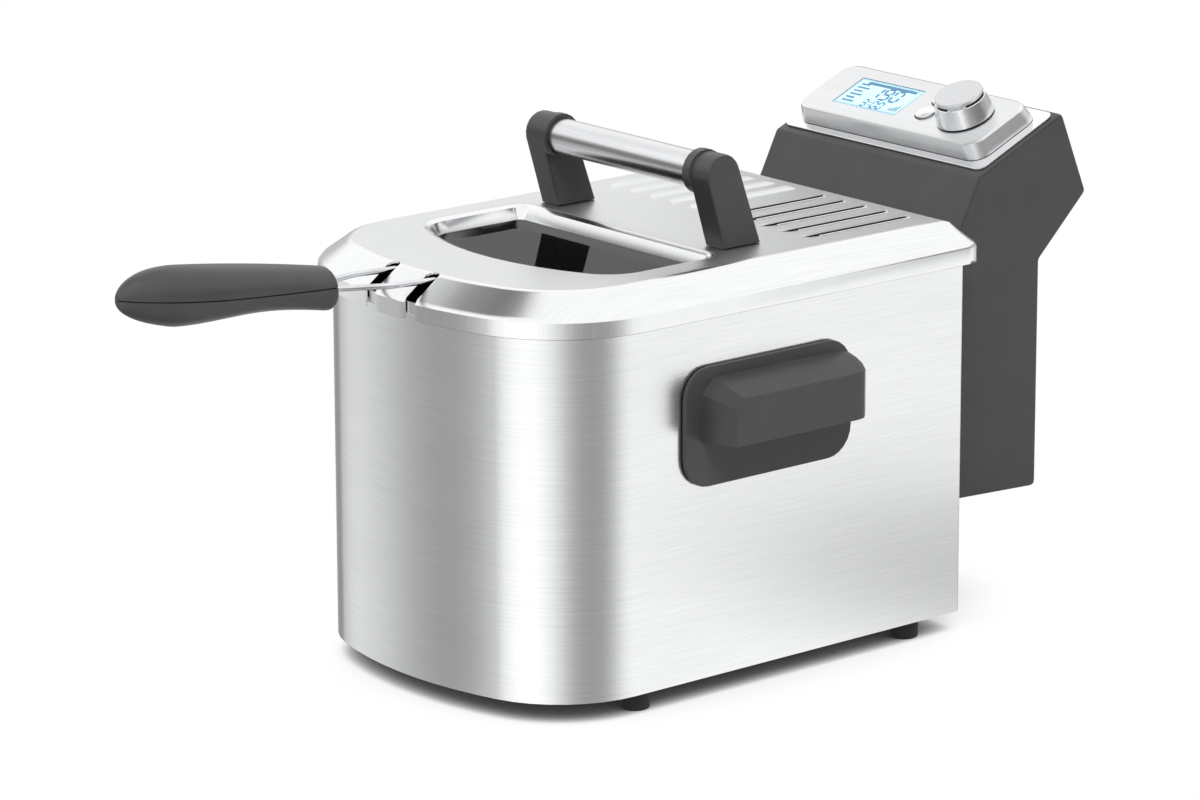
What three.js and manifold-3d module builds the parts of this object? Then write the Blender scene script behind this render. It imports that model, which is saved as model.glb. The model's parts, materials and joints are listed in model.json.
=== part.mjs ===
// Countertop deep fryer with a lift-off control head, oil bowl, wire basket and windowed lid.
// Millimetres. X runs across the fryer, -Y towards the basket handle, +Z up.
// The model is laid out from a datum plane just inside the housing's back wall, at floor
// level, and moved at the end so that the origin is under its middle.
import * as THREE from "three";
import { mergeVertices } from "three/addons/utils/BufferGeometryUtils.js";
import Module from "manifold-3d";

const wasm = await Module();
wasm.setup();

// ---------------------------------------------------------------- driving dimensions

const seat = 0.3; // gap left between pieces that touch

// Housing: a D-shaped plan with a bowed nose
const bodyWidth = 221.5;
const bodyLength = 307;
const rearWall = 2.6; // back wall behind the datum plane
const noseRadius = 228;
const noseCornerRadius = 62.5;
const rearCornerRadius = 4;
const footHeight = 11.1; // floor to the shell's lower edge
const shellHeight = 203.3;
const shellWall = 1;
const shellHem = 7; // folded flange round the shell's top
const footRadius = 8;
const footInset = 12.1; // foot centre to the side wall
const footCollar = 0.8; // flare that seats each foot under the base
const frontFootSetback = 79.5; // nose to the front feet's centres
const rearFootSetback = 30; // back wall to the rear feet's centres
const baseThickness = 2.5;
const baseRise = 1.5; // shell's lower edge to the base pan's underside
const baseSkirt = 15;
const baseRibCount = 4;
const baseRibThickness = 2;

// Side handles
const gripPlateLength = 120;
const gripPlateHeight = 66.4;
const gripPlateRadius = 17;
const gripPlateThickness = 3;
const gripCentreY = -145.3;
const gripCentreHeight = 141.2; // above the shell's lower edge
const hoodReach = 28; // side wall to the hood's face
const hoodRootFront = 48; // plate's centre to the hood's front end, at its root
const hoodFaceFront = 45; // and at its face
const hoodRootRear = 58; // and to its rear end, which curves in from its root
const hoodFaceRear = 42.6;
const hoodTopRoot = 26.8; // hood's top above the plate's centre, at its root
const hoodTopFace = 20.2; // and at its face
const hoodBottomRoot = -8; // hood's lower edge from the plate's centre, at its root
const hoodBottomFace = -6; // and at its face
const hoodWall = 2.6;
const hoodRootChamfer = 8; // of its front corner
const hoodFaceChamfer = 5.5;
const hoodRearRollRun = 9; // rounding of its rear corner, along and down
const hoodRearRollDrop = 3.5;

// Guide rails on the back
const railSpacing = 96;
const railNeckWidth = 5;
const railHeadWidth = 11;
const railNeckDepth = 5;
const railHeadDepth = 3;
const railBottom = 92;
const railTop = 186;
const railClearance = 0.6;
const railEndGap = 4; // above the rails, in the head's grooves

// Oil bowl
const bowlInset = 9; // shell's outside to the bowl's wall
const bowlWall = 1.2;
const bowlDepth = 164;
const bowlDraft = 4;
const bowlFloorRadius = 14;
const bowlFlangeInset = 2;

// Lid
const rimOverhang = 8;
const rimDrop = 1; // how far the rim hangs below the shell's top
const rimHeight = 10.3;
const chamferRun = 17;
const chamferRise = 12.2;
const lidWall = 1;
const lidEdge = 1.6; // softening of the rim's and the top's edges
const lidRear = 12;
const lidRearRadius = 15;
const windowHalfWidth = 82.5;
const windowRear = -156.3;
const windowSetback = 57.6; // housing's nose to the window's
const windowNoseRadius = 156;
const windowCornerRadius = 25;
const windowRearRadius = 8;
const wellSoft = 3; // how wide the top rolls over into the well
const wellDepth = 12.6;
const wellRun = 4;
const wellSlopeDepth = 7.4;
const wellLip = 5;
const glassThickness = 3.6;
const sealThickness = 0.8;
const ventOffset = 82; // outermost vent from the centre line
const ventPitch = 17.25;
const ventsPerSide = 5;
const ventWidth = 5;
const ventFrontY = -90.6;
const ventRearY = -17.8;
const notchSpacing = 33.8;
const notchWidth = 8.4;
const notchDepth = 12.2; // housing's nose to the notches' inner ends

// Curbs under the lid and the filter under its vents
const curbWall = 1.2;
const curbPlay = 0.9; // curb to the bowl's inner wall
const curbDrop = 8;
const filterMargin = 6; // outermost vents to the tray's sides
const filterDepth = 7;
const filterWall = 1.5;
const filterSlotWidth = 8;
const filterRadius = 6;

// Lid handle
const postInner = 61.6; // inner face from the centre line
const postThickness = 16.2;
const postFootFront = -146;
const postFootRear = -119.7;
const postLean = 18; // degrees
const barY = -147.2;
const barHeight = 41.2; // above the lid's top
const barRadius = 10;
const barWall = 1.5;
const postHeadRadius = 11.5;
const postHeadOffset = 0.8; // head's centre behind the bar's
const collarRadius = 12.5;
const collarLength = 3.4;
const postBevel = 1.6;
const barSocketDepth = 6;

// Control head
const headHalfWidth = 85;
const headGap = 2; // housing's back wall to the stem
const headWall = 2.8;
const stemFrontWall = 13;
const stemBottom = 52.2; // above the shell's lower edge
const stemBottomFront = 56;
const stemRear = 85;
const waistHeight = 185.1;
const headRearmost = 121.1;
const headRearmostHeight = 219.6;
const headTopFrontY = 36.2;
const headTopFront = 240.2;
const headTopLength = 70.6;
const headFrontLean = THREE.MathUtils.degToRad(27);
const panelTilt = THREE.MathUtils.degToRad(23.2);
const headBevel = 2;
const headEdgeRadius = 3.4;
const backCoverHalfWidth = 66;
const backCoverBottom = 76;
const backCoverTop = 188;
const backCoverThickness = 2.5;
const coverLedge = 4; // rebate that the cover lies in

// Panel
// Places along the slope are measured from the head's front top edge.
const flangeHalfWidth = 82.4;
const flangeThickness = 1.1;
const flangeFront = 4.3;
const flangeLength = 62.3;
const flangeRadius = 5;
const fasciaHalfWidth = 76.4;
const fasciaFront = 9.4;
const fasciaLength = 51.6;
const fasciaRadius = 10;
const fasciaSideDraft = 1.9;
const fasciaFrontDraft = 0.8;
const fasciaRearDraft = 2.8;
const fasciaRise = 10.3; // above the flange's top
const fasciaEdgeRadius = 1.6;
const displayLeft = -52.8;
const displayWidth = 52.8;
const displayFront = 21;
const displayLength = 26.9;
const displayRecess = 2.4;
const lensThickness = 2;
const dialX = 45.8;
const dialAlong = 34.2;
const dialBaseRadius = 17.1;
const dialTopRadius = 14.1;
const dialHeight = 14.8;
const dialGap = 0.7;
const dialCapHeight = 2.2;
const dialGroove = 0.8; // height and depth of the groove under the cap
const dialSkirtWall = 2.6;
const dialBossHeight = 6;
const dialShaftRadius = 3;
const dialShaftDepth = 7; // how far the shaft reaches into the fascia
const buttonX = 18;
const buttonRadius = 6.1;
const buttonGap = 0.6;
const buttonStand = 1.7;
const buttonTravel = 1;
const frontButtonAlong = 29;
const rearButtonAlong = 43.5;
const buttonPocket = 4;
const boardThickness = 1.6;
const displayBoardHalfWidth = 60;
const displayBoardFront = 12;
const displayBoardLength = 40;
const boardMargin = 6; // control board to the back cover's ends
const transformerWidth = 36;
const transformerHeight = 32;
const transformerDepth = 29;
const relayWidth = 28;
const relayHeight = 18;
const relayDepth = 17;

// Power inlet and reset button on the back cover
const inletHalfWidth = 21;
const inletHalfHeight = 10.5;
const inletHeight = 97;
const inletDepth = 14;
const inletWall = 2.5;
const pinRadius = 2;
const pinSpacing = 11;
const pinLength = 6;
const contactPlateThickness = 1;
const contactPlateHalfHeight = 4;
const resetHeight = 150;
const resetRadius = 3.5;
const resetLength = 6.2;
const resetStand = 1.2;

// Element assembly
const bridgeHalfWidth = 50;
const bridgeThickness = 5.4;
const bridgeY = -18.2; // front of the element plate
const bridgeClearance = 3; // round the bridge, in the lid's rear rim
const elementPlateThickness = 1.6;
const elementPlateBottom = 84;
const elementRadius = 3.6;
const elementLegX = 38;
const elementOuterX = 66;
const elementInnerX = 22;
const elementSetback = 71; // nose to the element's front runs
const elementLift = 15; // tube centre above the bowl's floor
const elementFoot = 16; // length of the legs' straight run on the floor level
const elementSpread = 28; // and of the run that spreads them apart
const elementInnerGap = 58; // legs to the inner loop's rear
const elementBend = 20;
const elementTopDrop = 12; // bridge's underside to the legs' upper ends
const probeRadius = 2.5;
const probeX = 13;
const probeBottom = 82;
const probeLength = 83;
const strapY = -150;
const strapWidth = 10;
const strapThickness = 1.2;

// Basket
const basketHalfWidth = 84;
const basketSetback = 33; // nose to the basket's front
const basketRear = -42;
const basketHeight = 118;
const basketCornerRadius = 14;
const frameWireRadius = 1.6;
const meshPitch = 42;
const meshWire = 1.6;
const bracketMargin = 5; // bracket's upright outside each handle wire
const bracketFoot = 14; // how far the uprights reach down beside the basket
const bracketKnee = 6; // upright run above the basket's rim
const crossbarReach = 11; // basket's front to the crossbar

// Basket handle
const handleWireRadius = 1.6;
const gripWireX = 7.4;
const gripStandoff = 48.4; // nose to the grip's inner end
const gripLength = 135.1;
const gripEndHeight = 223.8; // reference line of the grip above the shell's lower edge
const gripTipRise = 13.4; // tip above that line
const gripDepth = 23.9; // grip's height at its inner end
const gripHalfWidth = 13.4;
const gripSwell = 3.2; // how much wider the grip is past its middle
const gripEndRound = 3.5;
const wireNotchHeight = 221; // wire above the shell's lower edge where it enters the lid
const wireEndDrop = 3.2; // wire's inner end below its height in the notch
const wireGripDepth = 45; // how far the wires reach into the grip
const wireGripRise = 5; // and climb in it
const wireBend = 30;
const gripSeam = 0.3;

// ---------------------------------------------------------------- derived levels

const halfWidth = bodyWidth / 2;
const shellBottom = footHeight;
const shellTop = shellBottom + shellHeight;
const bowlFlangeBottom = shellTop + seat;
const bowlFlangeTop = bowlFlangeBottom + bowlWall;
const bowlFloor = bowlFlangeTop - bowlDepth + bowlWall;
const rimBottom = shellTop - rimDrop;
const rimTop = rimBottom + rimHeight;
const lidTop = rimTop + chamferRise;
const baseUnderside = shellBottom + baseRise;
const elementZ = bowlFloor + elementLift;
const basketBottom = elementZ + elementRadius + seat + frameWireRadius;
const basketTop = basketBottom + basketHeight;
const bridgeBottom = bowlFlangeTop + seat;
const bridgeTop = bridgeBottom + bridgeThickness;
const nose = -bodyLength;
const frontFootY = nose + frontFootSetback;
const windowNose = nose + windowSetback;
const notchEndY = nose + notchDepth;
const basketFront = nose + basketSetback;
const elementFrontY = nose + elementSetback;
const gripEndY = nose - gripStandoff;

// ---------------------------------------------------------------- finishes

const finish = (color, roughness, metalness) => {
  return new THREE.MeshStandardMaterial({ color, roughness, metalness });
};
const brushedSteel = finish(0xc9cacc, 0.32, 1);
const polishedSteel = finish(0xd8d9db, 0.15, 1);
const darkPlastic = finish(0x48484a, 0.5, 0);
const blackRubber = finish(0x1c1c1d, 0.8, 0);
const smokedGlass = finish(0x2b2c2e, 0.08, 0);
const displayBlue = finish(0xb9e3f5, 0.2, 0);
const boardGreen = finish(0x1f5a3a, 0.6, 0);
const filterGrey = finish(0x8b8d8f, 0.9, 0);

// ---------------------------------------------------------------- solids

// A closed geometry as a manifold solid.
function solid(geometry) {
  const bare = new THREE.BufferGeometry();
  bare.setAttribute("position", geometry.getAttribute("position"));
  bare.setIndex(geometry.getIndex());
  const merged = mergeVertices(bare, 1e-4);
  const vertProperties = new Float32Array(merged.getAttribute("position").array);
  const triVerts = new Uint32Array(merged.getIndex().array);
  return new wasm.Manifold(new wasm.Mesh({ numProp: 3, vertProperties, triVerts }));
}

// A manifold solid as a geometry that can be drawn.
function drawn(body) {
  const mesh = body.getMesh();
  const geometry = new THREE.BufferGeometry();
  geometry.setAttribute("position", new THREE.BufferAttribute(mesh.vertProperties, 3));
  geometry.setIndex(new THREE.BufferAttribute(mesh.triVerts, 1));
  geometry.computeVertexNormals();
  return geometry;
}

const union = (...bodies) => bodies.reduce((whole, body) => whole.add(body));
const cut = (body, ...tools) => tools.reduce((whole, tool) => whole.subtract(tool), body);

// Joins rings of points, each counter-clockwise about the direction of travel.
// An open loft gets a flat cap at each end; a closed one joins its last ring to its first.
function loft(rings, closed = false) {
  const count = rings[0].length;
  const positions = rings.flat().flatMap((point) => [point.x, point.y, point.z]);
  const index = [];
  const spans = closed ? rings.length : rings.length - 1;
  for (let ring = 0; ring < spans; ring += 1) {
    const here = ring * count;
    const next = ((ring + 1) % rings.length) * count;
    for (let side = 0; side < count; side += 1) {
      const turn = (side + 1) % count;
      index.push(here + side, here + turn, next + turn);
      index.push(here + side, next + turn, next + side);
    }
  }
  if (!closed) {
    const last = (rings.length - 1) * count;
    for (let side = 1; side < count - 1; side += 1) {
      index.push(0, side + 1, side);
      index.push(last, last + side, last + side + 1);
    }
  }
  const geometry = new THREE.BufferGeometry();
  geometry.setAttribute("position", new THREE.Float32BufferAttribute(positions, 3));
  geometry.setIndex(index);
  return solid(geometry);
}

const points2 = (pairs) => pairs.map(([x, y]) => new THREE.Vector2(x, y));

// Points along an arc in a plane.
function arc(x, y, radius, from, to, steps) {
  const points = [];
  for (let step = 0; step <= steps; step += 1) {
    const angle = from + ((to - from) * step) / steps;
    points.push(new THREE.Vector2(x + radius * Math.cos(angle), y + radius * Math.sin(angle)));
  }
  return points;
}

// The D-shaped outline: straight sides, a square back and a bowed nose with round corners.
// An inset moves every edge inwards by the same amount.
function dPlan(size, inset = 0) {
  const side = size.halfWidth - inset;
  const bow = size.noseRadius - inset;
  const corner = Math.max(size.cornerRadius - inset, 1);
  const back = Math.max(size.rearRadius - inset, 0.4);
  const rear = size.rear - inset;
  const bowY = size.nose + inset + bow;
  const cornerX = side - corner;
  const drop = Math.sqrt((bow - corner) ** 2 - cornerX ** 2);
  const cornerY = bowY - drop;
  const tangent = Math.atan2(drop, cornerX);
  return [
    ...arc(0, bowY, bow, -Math.PI + tangent, -tangent, 9).slice(1, -1),
    ...arc(cornerX, cornerY, corner, -tangent, 0, 8),
    ...arc(side - back, rear - back, back, 0, Math.PI / 2, 3),
    ...arc(-side + back, rear - back, back, Math.PI / 2, Math.PI, 3),
    ...arc(-cornerX, cornerY, corner, Math.PI, Math.PI + tangent, 8),
  ];
}

const bodyPlan = {
  halfWidth,
  nose,
  rear: rearWall,
  noseRadius,
  cornerRadius: noseCornerRadius,
  rearRadius: rearCornerRadius,
};
const lidPlan = {
  halfWidth: halfWidth + rimOverhang,
  nose: nose - rimOverhang,
  rear: lidRear,
  noseRadius: noseRadius + rimOverhang,
  cornerRadius: noseCornerRadius + rimOverhang,
  rearRadius: lidRearRadius,
};
const windowPlan = {
  halfWidth: windowHalfWidth,
  nose: windowNose,
  rear: windowRear,
  noseRadius: windowNoseRadius,
  cornerRadius: windowCornerRadius,
  rearRadius: windowRearRadius,
};

const level = (outline, z) => outline.map((point) => new THREE.Vector3(point.x, point.y, z));

// Carries a profile of [inset, height] points round a plan.
function wrap(plan, profile, closed = true) {
  return loft(profile.map(([inset, z]) => level(dPlan(plan, inset), z)), closed);
}

// An outline in XY, drawn up from one height to another.
function prism(outline, from, to, holes = []) {
  const shape = new THREE.Shape(outline);
  shape.holes = holes.map((hole) => new THREE.Path(hole));
  const geometry = new THREE.ExtrudeGeometry(shape, { depth: to - from, bevelEnabled: false });
  return solid(geometry.translate(0, 0, from));
}

// An outline of (Y, Z) points drawn along X.
const crosswise = new THREE.Matrix4().makeBasis(
  new THREE.Vector3(0, 1, 0),
  new THREE.Vector3(0, 0, 1),
  new THREE.Vector3(1, 0, 0),
);
function slice(outline, from, to, bevel = 0) {
  const geometry = new THREE.ExtrudeGeometry(new THREE.Shape(outline), {
    depth: to - from - 2 * bevel,
    bevelEnabled: bevel > 0,
    bevelThickness: bevel,
    bevelSize: bevel,
    bevelOffset: -bevel,
    bevelSegments: 2,
  });
  return solid(geometry.translate(0, 0, from + bevel).applyMatrix4(crosswise));
}

// An outline of (X, Z) points drawn along Y.
const lengthwise = new THREE.Matrix4().makeBasis(
  new THREE.Vector3(1, 0, 0),
  new THREE.Vector3(0, 0, 1),
  new THREE.Vector3(0, -1, 0),
);
function section(outline, from, to) {
  const geometry = new THREE.ExtrudeGeometry(new THREE.Shape(outline), {
    depth: to - from,
    bevelEnabled: false,
  });
  return solid(geometry.translate(0, 0, -to).applyMatrix4(lengthwise));
}

function box(x0, x1, y0, y1, z0, z1) {
  const geometry = new THREE.BoxGeometry(x1 - x0, y1 - y0, z1 - z0);
  return solid(geometry.translate((x0 + x1) / 2, (y0 + y1) / 2, (z0 + z1) / 2));
}

// A round solid about Z from [radius, height] points.
function turned(profile, segments = 24) {
  const points = profile.map(([radius, z]) => new THREE.Vector2(radius, z));
  return solid(new THREE.LatheGeometry(points, segments).rotateX(Math.PI / 2));
}

const cylinder = (radius, from, to, segments = 24) => {
  return turned([[0, from], [radius, from], [radius, to], [0, to]], segments);
};

// A whole circle of points.
const round = (x, y, radius, steps) => arc(x, y, radius, 0, 2 * Math.PI, steps).slice(1);

// A rectangle with round corners, between two X and two Y limits.
function roundedRectangle(x0, x1, y0, y1, radius, steps = 4) {
  const quarter = Math.PI / 2;
  return [
    ...arc(x1 - radius, y0 + radius, radius, -quarter, 0, steps),
    ...arc(x1 - radius, y1 - radius, radius, 0, quarter, steps),
    ...arc(x0 + radius, y1 - radius, radius, quarter, 2 * quarter, steps),
    ...arc(x0 + radius, y0 + radius, radius, 2 * quarter, 3 * quarter, steps),
  ];
}

// A slot with round ends along Y.
const slotOutline = (x, width, y0, y1, steps = 6) => {
  return roundedRectangle(x - width / 2, x + width / 2, y0, y1, width / 2 - 0.01, steps / 2);
};

// A path with its corners rounded to a bend radius.
function rounded(corners, bend, steps = 5) {
  const path = [corners[0]];
  for (let i = 1; i < corners.length - 1; i += 1) {
    const before = corners[i - 1].clone().sub(corners[i]);
    const after = corners[i + 1].clone().sub(corners[i]);
    const half = before.angleTo(after) / 2;
    const reach = Math.min(bend / Math.tan(half), before.length() / 2.01, after.length() / 2.01);
    const curve = new THREE.QuadraticBezierCurve3(
      before.setLength(reach).add(corners[i]),
      corners[i],
      after.setLength(reach).add(corners[i]),
    );
    path.push(...curve.getPoints(steps));
  }
  path.push(corners[corners.length - 1]);
  return path;
}

// A round bar along a path of points.
function bar(path, radius, sides = 8, closed = false) {
  const count = path.length;
  const tangent = (i) => {
    const next = closed ? path[(i + 1) % count] : path[Math.min(i + 1, count - 1)];
    const last = closed ? path[(i + count - 1) % count] : path[Math.max(i - 1, 0)];
    return next.clone().sub(last).normalize();
  };
  let across = new THREE.Vector3(0.31, 0.17, 0.93).cross(tangent(0)).normalize();
  const rings = path.map((point, i) => {
    const along = tangent(i);
    across = across.clone().addScaledVector(along, -across.dot(along)).normalize();
    const up = along.clone().cross(across);
    return round(0, 0, radius, sides).map(({ x, y }) => {
      return point.clone().addScaledVector(across, x).addScaledVector(up, y);
    });
  });
  return loft(rings, closed);
}

// ---------------------------------------------------------------- assembly

const fryer = new THREE.Group();

function add(name, body, material, parent = fryer) {
  const mesh = new THREE.Mesh(drawn(body), material);
  mesh.name = name;
  parent.add(mesh);
  return mesh;
}

const mirrored = (body) => body.mirror([1, 0, 0]);

// ---------------------------------------------------------------- housing

add(
  "outer_shell",
  wrap(bodyPlan, [
    [0, shellBottom],
    [0, shellTop],
    [shellHem, shellTop],
    [shellHem, shellTop - shellWall],
    [shellWall, shellTop - shellWall],
    [shellWall, shellBottom],
  ]),
  brushedSteel,
);

function basePan() {
  const edge = shellWall + seat;
  const inside = edge + baseThickness;
  const floor = baseUnderside + baseThickness;
  const tray = wrap(
    bodyPlan,
    [
      [edge, baseUnderside],
      [edge, baseUnderside + baseSkirt],
      [inside, baseUnderside + baseSkirt],
      [inside, floor],
    ],
    false,
  );
  const ribReach = halfWidth - inside + 0.5;
  const ribs = [];
  for (let i = 1; i <= baseRibCount; i += 1) {
    const y = (nose * i) / (baseRibCount + 1) - baseRibThickness / 2;
    ribs.push(box(-ribReach, ribReach, y, y + baseRibThickness, floor - 0.5, floor + baseSkirt / 2));
  }
  return union(tray, ...ribs);
}
add("base_pan", basePan(), darkPlastic);

const footProfile = [
  [0, 0],
  [footRadius - 1, 0],
  [footRadius, 1],
  [footRadius, footHeight - 2],
  [footRadius + footCollar, footHeight - 1],
  [footRadius + footCollar, baseUnderside - seat],
  [0, baseUnderside - seat],
];
for (const [end, footY] of [["front", frontFootY], ["rear", -rearFootSetback]]) {
  for (const [hand, side] of [["left", -1], ["right", 1]]) {
    const foot = add(`foot_${end}_${hand}`, turned(footProfile, 12), blackRubber);
    foot.position.set(side * (halfWidth - footInset), footY, 0);
  }
}

// The side handle's hood is a tapered hollow box, open underneath for the fingers. Its rear
// end curves in from the plate like a quarter ellipse, and its front end is nearly flat.
function hoodShell(wall, from, to) {
  const rings = [];
  const spans = 5;
  for (let i = 0; i <= spans; i += 1) {
    const turn = (i / spans) * (Math.PI / 2);
    const out = Math.sin(turn);
    const between = (root, face) => THREE.MathUtils.lerp(root, face, out);
    const front = wall - between(hoodRootFront, hoodFaceFront);
    const rear = THREE.MathUtils.lerp(hoodFaceRear, hoodRootRear, Math.cos(turn)) - wall;
    const top = between(hoodTopRoot, hoodTopFace) - wall;
    const bottom = between(hoodBottomRoot, hoodBottomFace) - 2 * wall;
    const corner = between(hoodRootChamfer, hoodFaceChamfer) - wall / 3;
    const run = between(hoodRearRollRun, hoodRearRollRun / 3);
    const drop = between(hoodRearRollDrop, hoodRearRollDrop / 2);
    const roll = arc(0, 0, 1, 0, Math.PI / 2, 3);
    const outline = [
      new THREE.Vector2(front, bottom),
      new THREE.Vector2(rear, bottom),
      ...roll.map(({ x, y }) => new THREE.Vector2(rear - run * (1 - x), top - drop * (1 - y))),
      new THREE.Vector2(front + corner, top),
      new THREE.Vector2(front, top - corner),
    ];
    const x = THREE.MathUtils.lerp(from, to, out);
    rings.push(outline.map(({ x: y, y: z }) => new THREE.Vector3(x, y, z)));
  }
  return loft(rings);
}
function sideHandle() {
  const length = gripPlateLength / 2;
  const height = gripPlateHeight / 2;
  const outline = roundedRectangle(-length, length, -height, height, gripPlateRadius, 6);
  const plate = slice(outline, 0, gripPlateThickness, 1);
  const reach = hoodReach - seat;
  const hood = hoodShell(0, gripPlateThickness - 0.5, reach);
  return cut(union(plate, hood), hoodShell(hoodWall, gripPlateThickness, reach - hoodWall));
}
const rightHandle = sideHandle();
const handleX = halfWidth + seat;
const handleZ = shellBottom + gripCentreHeight;
add("side_handle_right", rightHandle, darkPlastic).position.set(handleX, gripCentreY, handleZ);
add("side_handle_left", mirrored(rightHandle), darkPlastic).position.set(-handleX, gripCentreY, handleZ);

// T-shaped rails that the control head slides down onto.
function railOutline(x, clearance) {
  const neck = railNeckWidth / 2 + clearance;
  const head = railHeadWidth / 2 + clearance;
  const start = rearWall + seat;
  const headStart = start + railNeckDepth - clearance;
  const headEnd = start + railNeckDepth + railHeadDepth + clearance;
  return [
    [x - neck, start - clearance],
    [x + neck, start - clearance],
    [x + neck, headStart],
    [x + head, headStart],
    [x + head, headEnd],
    [x - head, headEnd],
    [x - head, headStart],
    [x - neck, headStart],
  ].map(([px, py]) => new THREE.Vector2(px, py));
}
add("guide_rail_left", prism(railOutline(-railSpacing / 2, 0), railBottom, railTop), darkPlastic);
add("guide_rail_right", prism(railOutline(railSpacing / 2, 0), railBottom, railTop), darkPlastic);

// ---------------------------------------------------------------- oil bowl

function oilBowl() {
  const rounding = bowlFloorRadius;
  const floorInset = bowlInset + bowlDraft;
  const corner = (inset, z, radius) => {
    return [0, 45, 90].map((degrees) => {
      const angle = THREE.MathUtils.degToRad(degrees);
      return [inset + radius - radius * Math.sin(angle), z + radius - radius * Math.cos(angle)];
    });
  };
  const outside = corner(floorInset, bowlFloor - bowlWall, rounding);
  const inside = corner(floorInset + bowlWall, bowlFloor, rounding - bowlWall).reverse();
  return wrap(
    bodyPlan,
    [
      ...outside,
      [bowlInset, bowlFlangeBottom],
      [bowlFlangeInset, bowlFlangeBottom],
      [bowlFlangeInset, bowlFlangeTop],
      [bowlInset + bowlWall, bowlFlangeTop],
      ...inside,
    ],
    false,
  );
}
add("oil_bowl", oilBowl(), brushedSteel);

// ---------------------------------------------------------------- control head

const stemTop = rimBottom - 1.6;
const stemFront = rearWall + headGap;
const panelAlong = new THREE.Vector2(Math.cos(panelTilt), Math.sin(panelTilt));
const panelUp = new THREE.Vector2(-Math.sin(panelTilt), Math.cos(panelTilt));
const headFrontTop = new THREE.Vector2(headTopFrontY, shellBottom + headTopFront);
// Where the leaning front face is at a height.
const headFrontY = (z) => headFrontTop.x + (z - headFrontTop.y) * Math.tan(headFrontLean);
const headProfile = [
  new THREE.Vector2(stemFront, shellBottom + stemBottomFront),
  new THREE.Vector2(stemRear, shellBottom + stemBottom),
  new THREE.Vector2(stemRear, shellBottom + waistHeight),
  new THREE.Vector2(headRearmost, shellBottom + headRearmostHeight),
  headFrontTop.clone().addScaledVector(panelAlong, headTopLength),
  headFrontTop,
  new THREE.Vector2(headFrontY(stemTop), stemTop),
  new THREE.Vector2(stemFront, stemTop),
];

// Moves each side of a counter-clockwise polygon inwards by its own wall.
function insetPolygon(points, walls) {
  const count = points.length;
  const sides = points.map((point, i) => {
    const along = points[(i + 1) % count].clone().sub(point).normalize();
    const inward = new THREE.Vector2(-along.y, along.x);
    return { at: point.clone().addScaledVector(inward, walls[i]), along };
  });
  return sides.map((side, i) => {
    const last = sides[(i + count - 1) % count];
    const gap = side.at.clone().sub(last.at);
    const travel = gap.cross(side.along) / last.along.cross(side.along);
    return last.at.clone().addScaledVector(last.along, travel);
  });
}

// A polygon with its corners rounded.
function softened(points, radius, steps = 3) {
  const lifted = points.map(({ x, y }) => new THREE.Vector3(x, y, 0));
  const count = points.length;
  return lifted.flatMap((corner, i) => {
    const around = [lifted[(i + count - 1) % count], corner, lifted[(i + 1) % count]];
    return rounded(around, radius, steps).slice(1, -1).map(({ x, y }) => new THREE.Vector2(x, y));
  });
}

const cavityWalls = headProfile.map(() => headWall);
cavityWalls[headProfile.length - 1] = stemFrontWall;
const cavityProfile = insetPolygon(headProfile, cavityWalls);
const coverFront = stemRear - backCoverThickness;
const railSlot = railOutline(0, railClearance);

function headHousing() {
  const profile = softened(headProfile, headEdgeRadius);
  const outside = slice(profile, -headHalfWidth, headHalfWidth, headBevel);
  const cavityHalf = headHalfWidth - headWall;
  const cavity = slice(cavityProfile, -cavityHalf, cavityHalf);
  const window = box(
    coverLedge - backCoverHalfWidth,
    backCoverHalfWidth - coverLedge,
    stemRear - 2 * headWall,
    stemRear + 1,
    backCoverBottom + coverLedge,
    backCoverTop - coverLedge,
  );
  const rebate = box(
    -backCoverHalfWidth,
    backCoverHalfWidth,
    coverFront,
    stemRear + 1,
    backCoverBottom,
    backCoverTop,
  );
  const grooves = [-1, 1].map((side) => {
    const outline = railSlot.map(({ x, y }) => new THREE.Vector2(x + (side * railSpacing) / 2, y));
    return prism(outline, shellBottom + stemBottom - 1, railTop + railEndGap);
  });
  return cut(outside, cavity, window, rebate, ...grooves);
}
add("head_housing", headHousing(), darkPlastic);

function backCover() {
  const plate = section(
    roundedRectangle(
      -backCoverHalfWidth + seat,
      backCoverHalfWidth - seat,
      backCoverBottom + seat,
      backCoverTop - seat,
      0.5,
      2,
    ),
    coverFront + seat,
    stemRear,
  );
  const inletHole = box(
    -inletHalfWidth - seat,
    inletHalfWidth + seat,
    coverFront - 1,
    stemRear + 1,
    inletHeight - inletHalfHeight - seat,
    inletHeight + inletHalfHeight + seat,
  );
  const resetHole = section(round(0, resetHeight, resetRadius + seat, 16), coverFront - 1, stemRear + 1);
  return cut(plate, inletHole, resetHole);
}
add("head_back_cover", backCover(), darkPlastic);

function powerInlet() {
  const outline = (shrink) => {
    return roundedRectangle(
      shrink - inletHalfWidth,
      inletHalfWidth - shrink,
      inletHeight - inletHalfHeight + shrink,
      inletHeight + inletHalfHeight - shrink,
      3,
    );
  };
  const block = section(outline(0), stemRear - inletDepth, stemRear);
  const recess = section(outline(inletWall), stemRear - inletDepth + inletWall, stemRear + 1);
  return cut(block, recess);
}
add("power_inlet", powerInlet(), blackRubber);

function inletContacts() {
  const floor = stemRear - inletDepth + inletWall + seat;
  const face = floor + contactPlateThickness;
  const half = pinSpacing + 2 * pinRadius;
  const low = inletHeight - contactPlateHalfHeight;
  const plate = box(-half, half, floor, face, low, low + 2 * contactPlateHalfHeight);
  const pins = [-1, 0, 1].map((place) => {
    return section(round(place * pinSpacing, inletHeight, pinRadius, 10), face - 0.5, floor + pinLength);
  });
  return union(plate, ...pins);
}
add("inlet_contacts", inletContacts(), polishedSteel);

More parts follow.
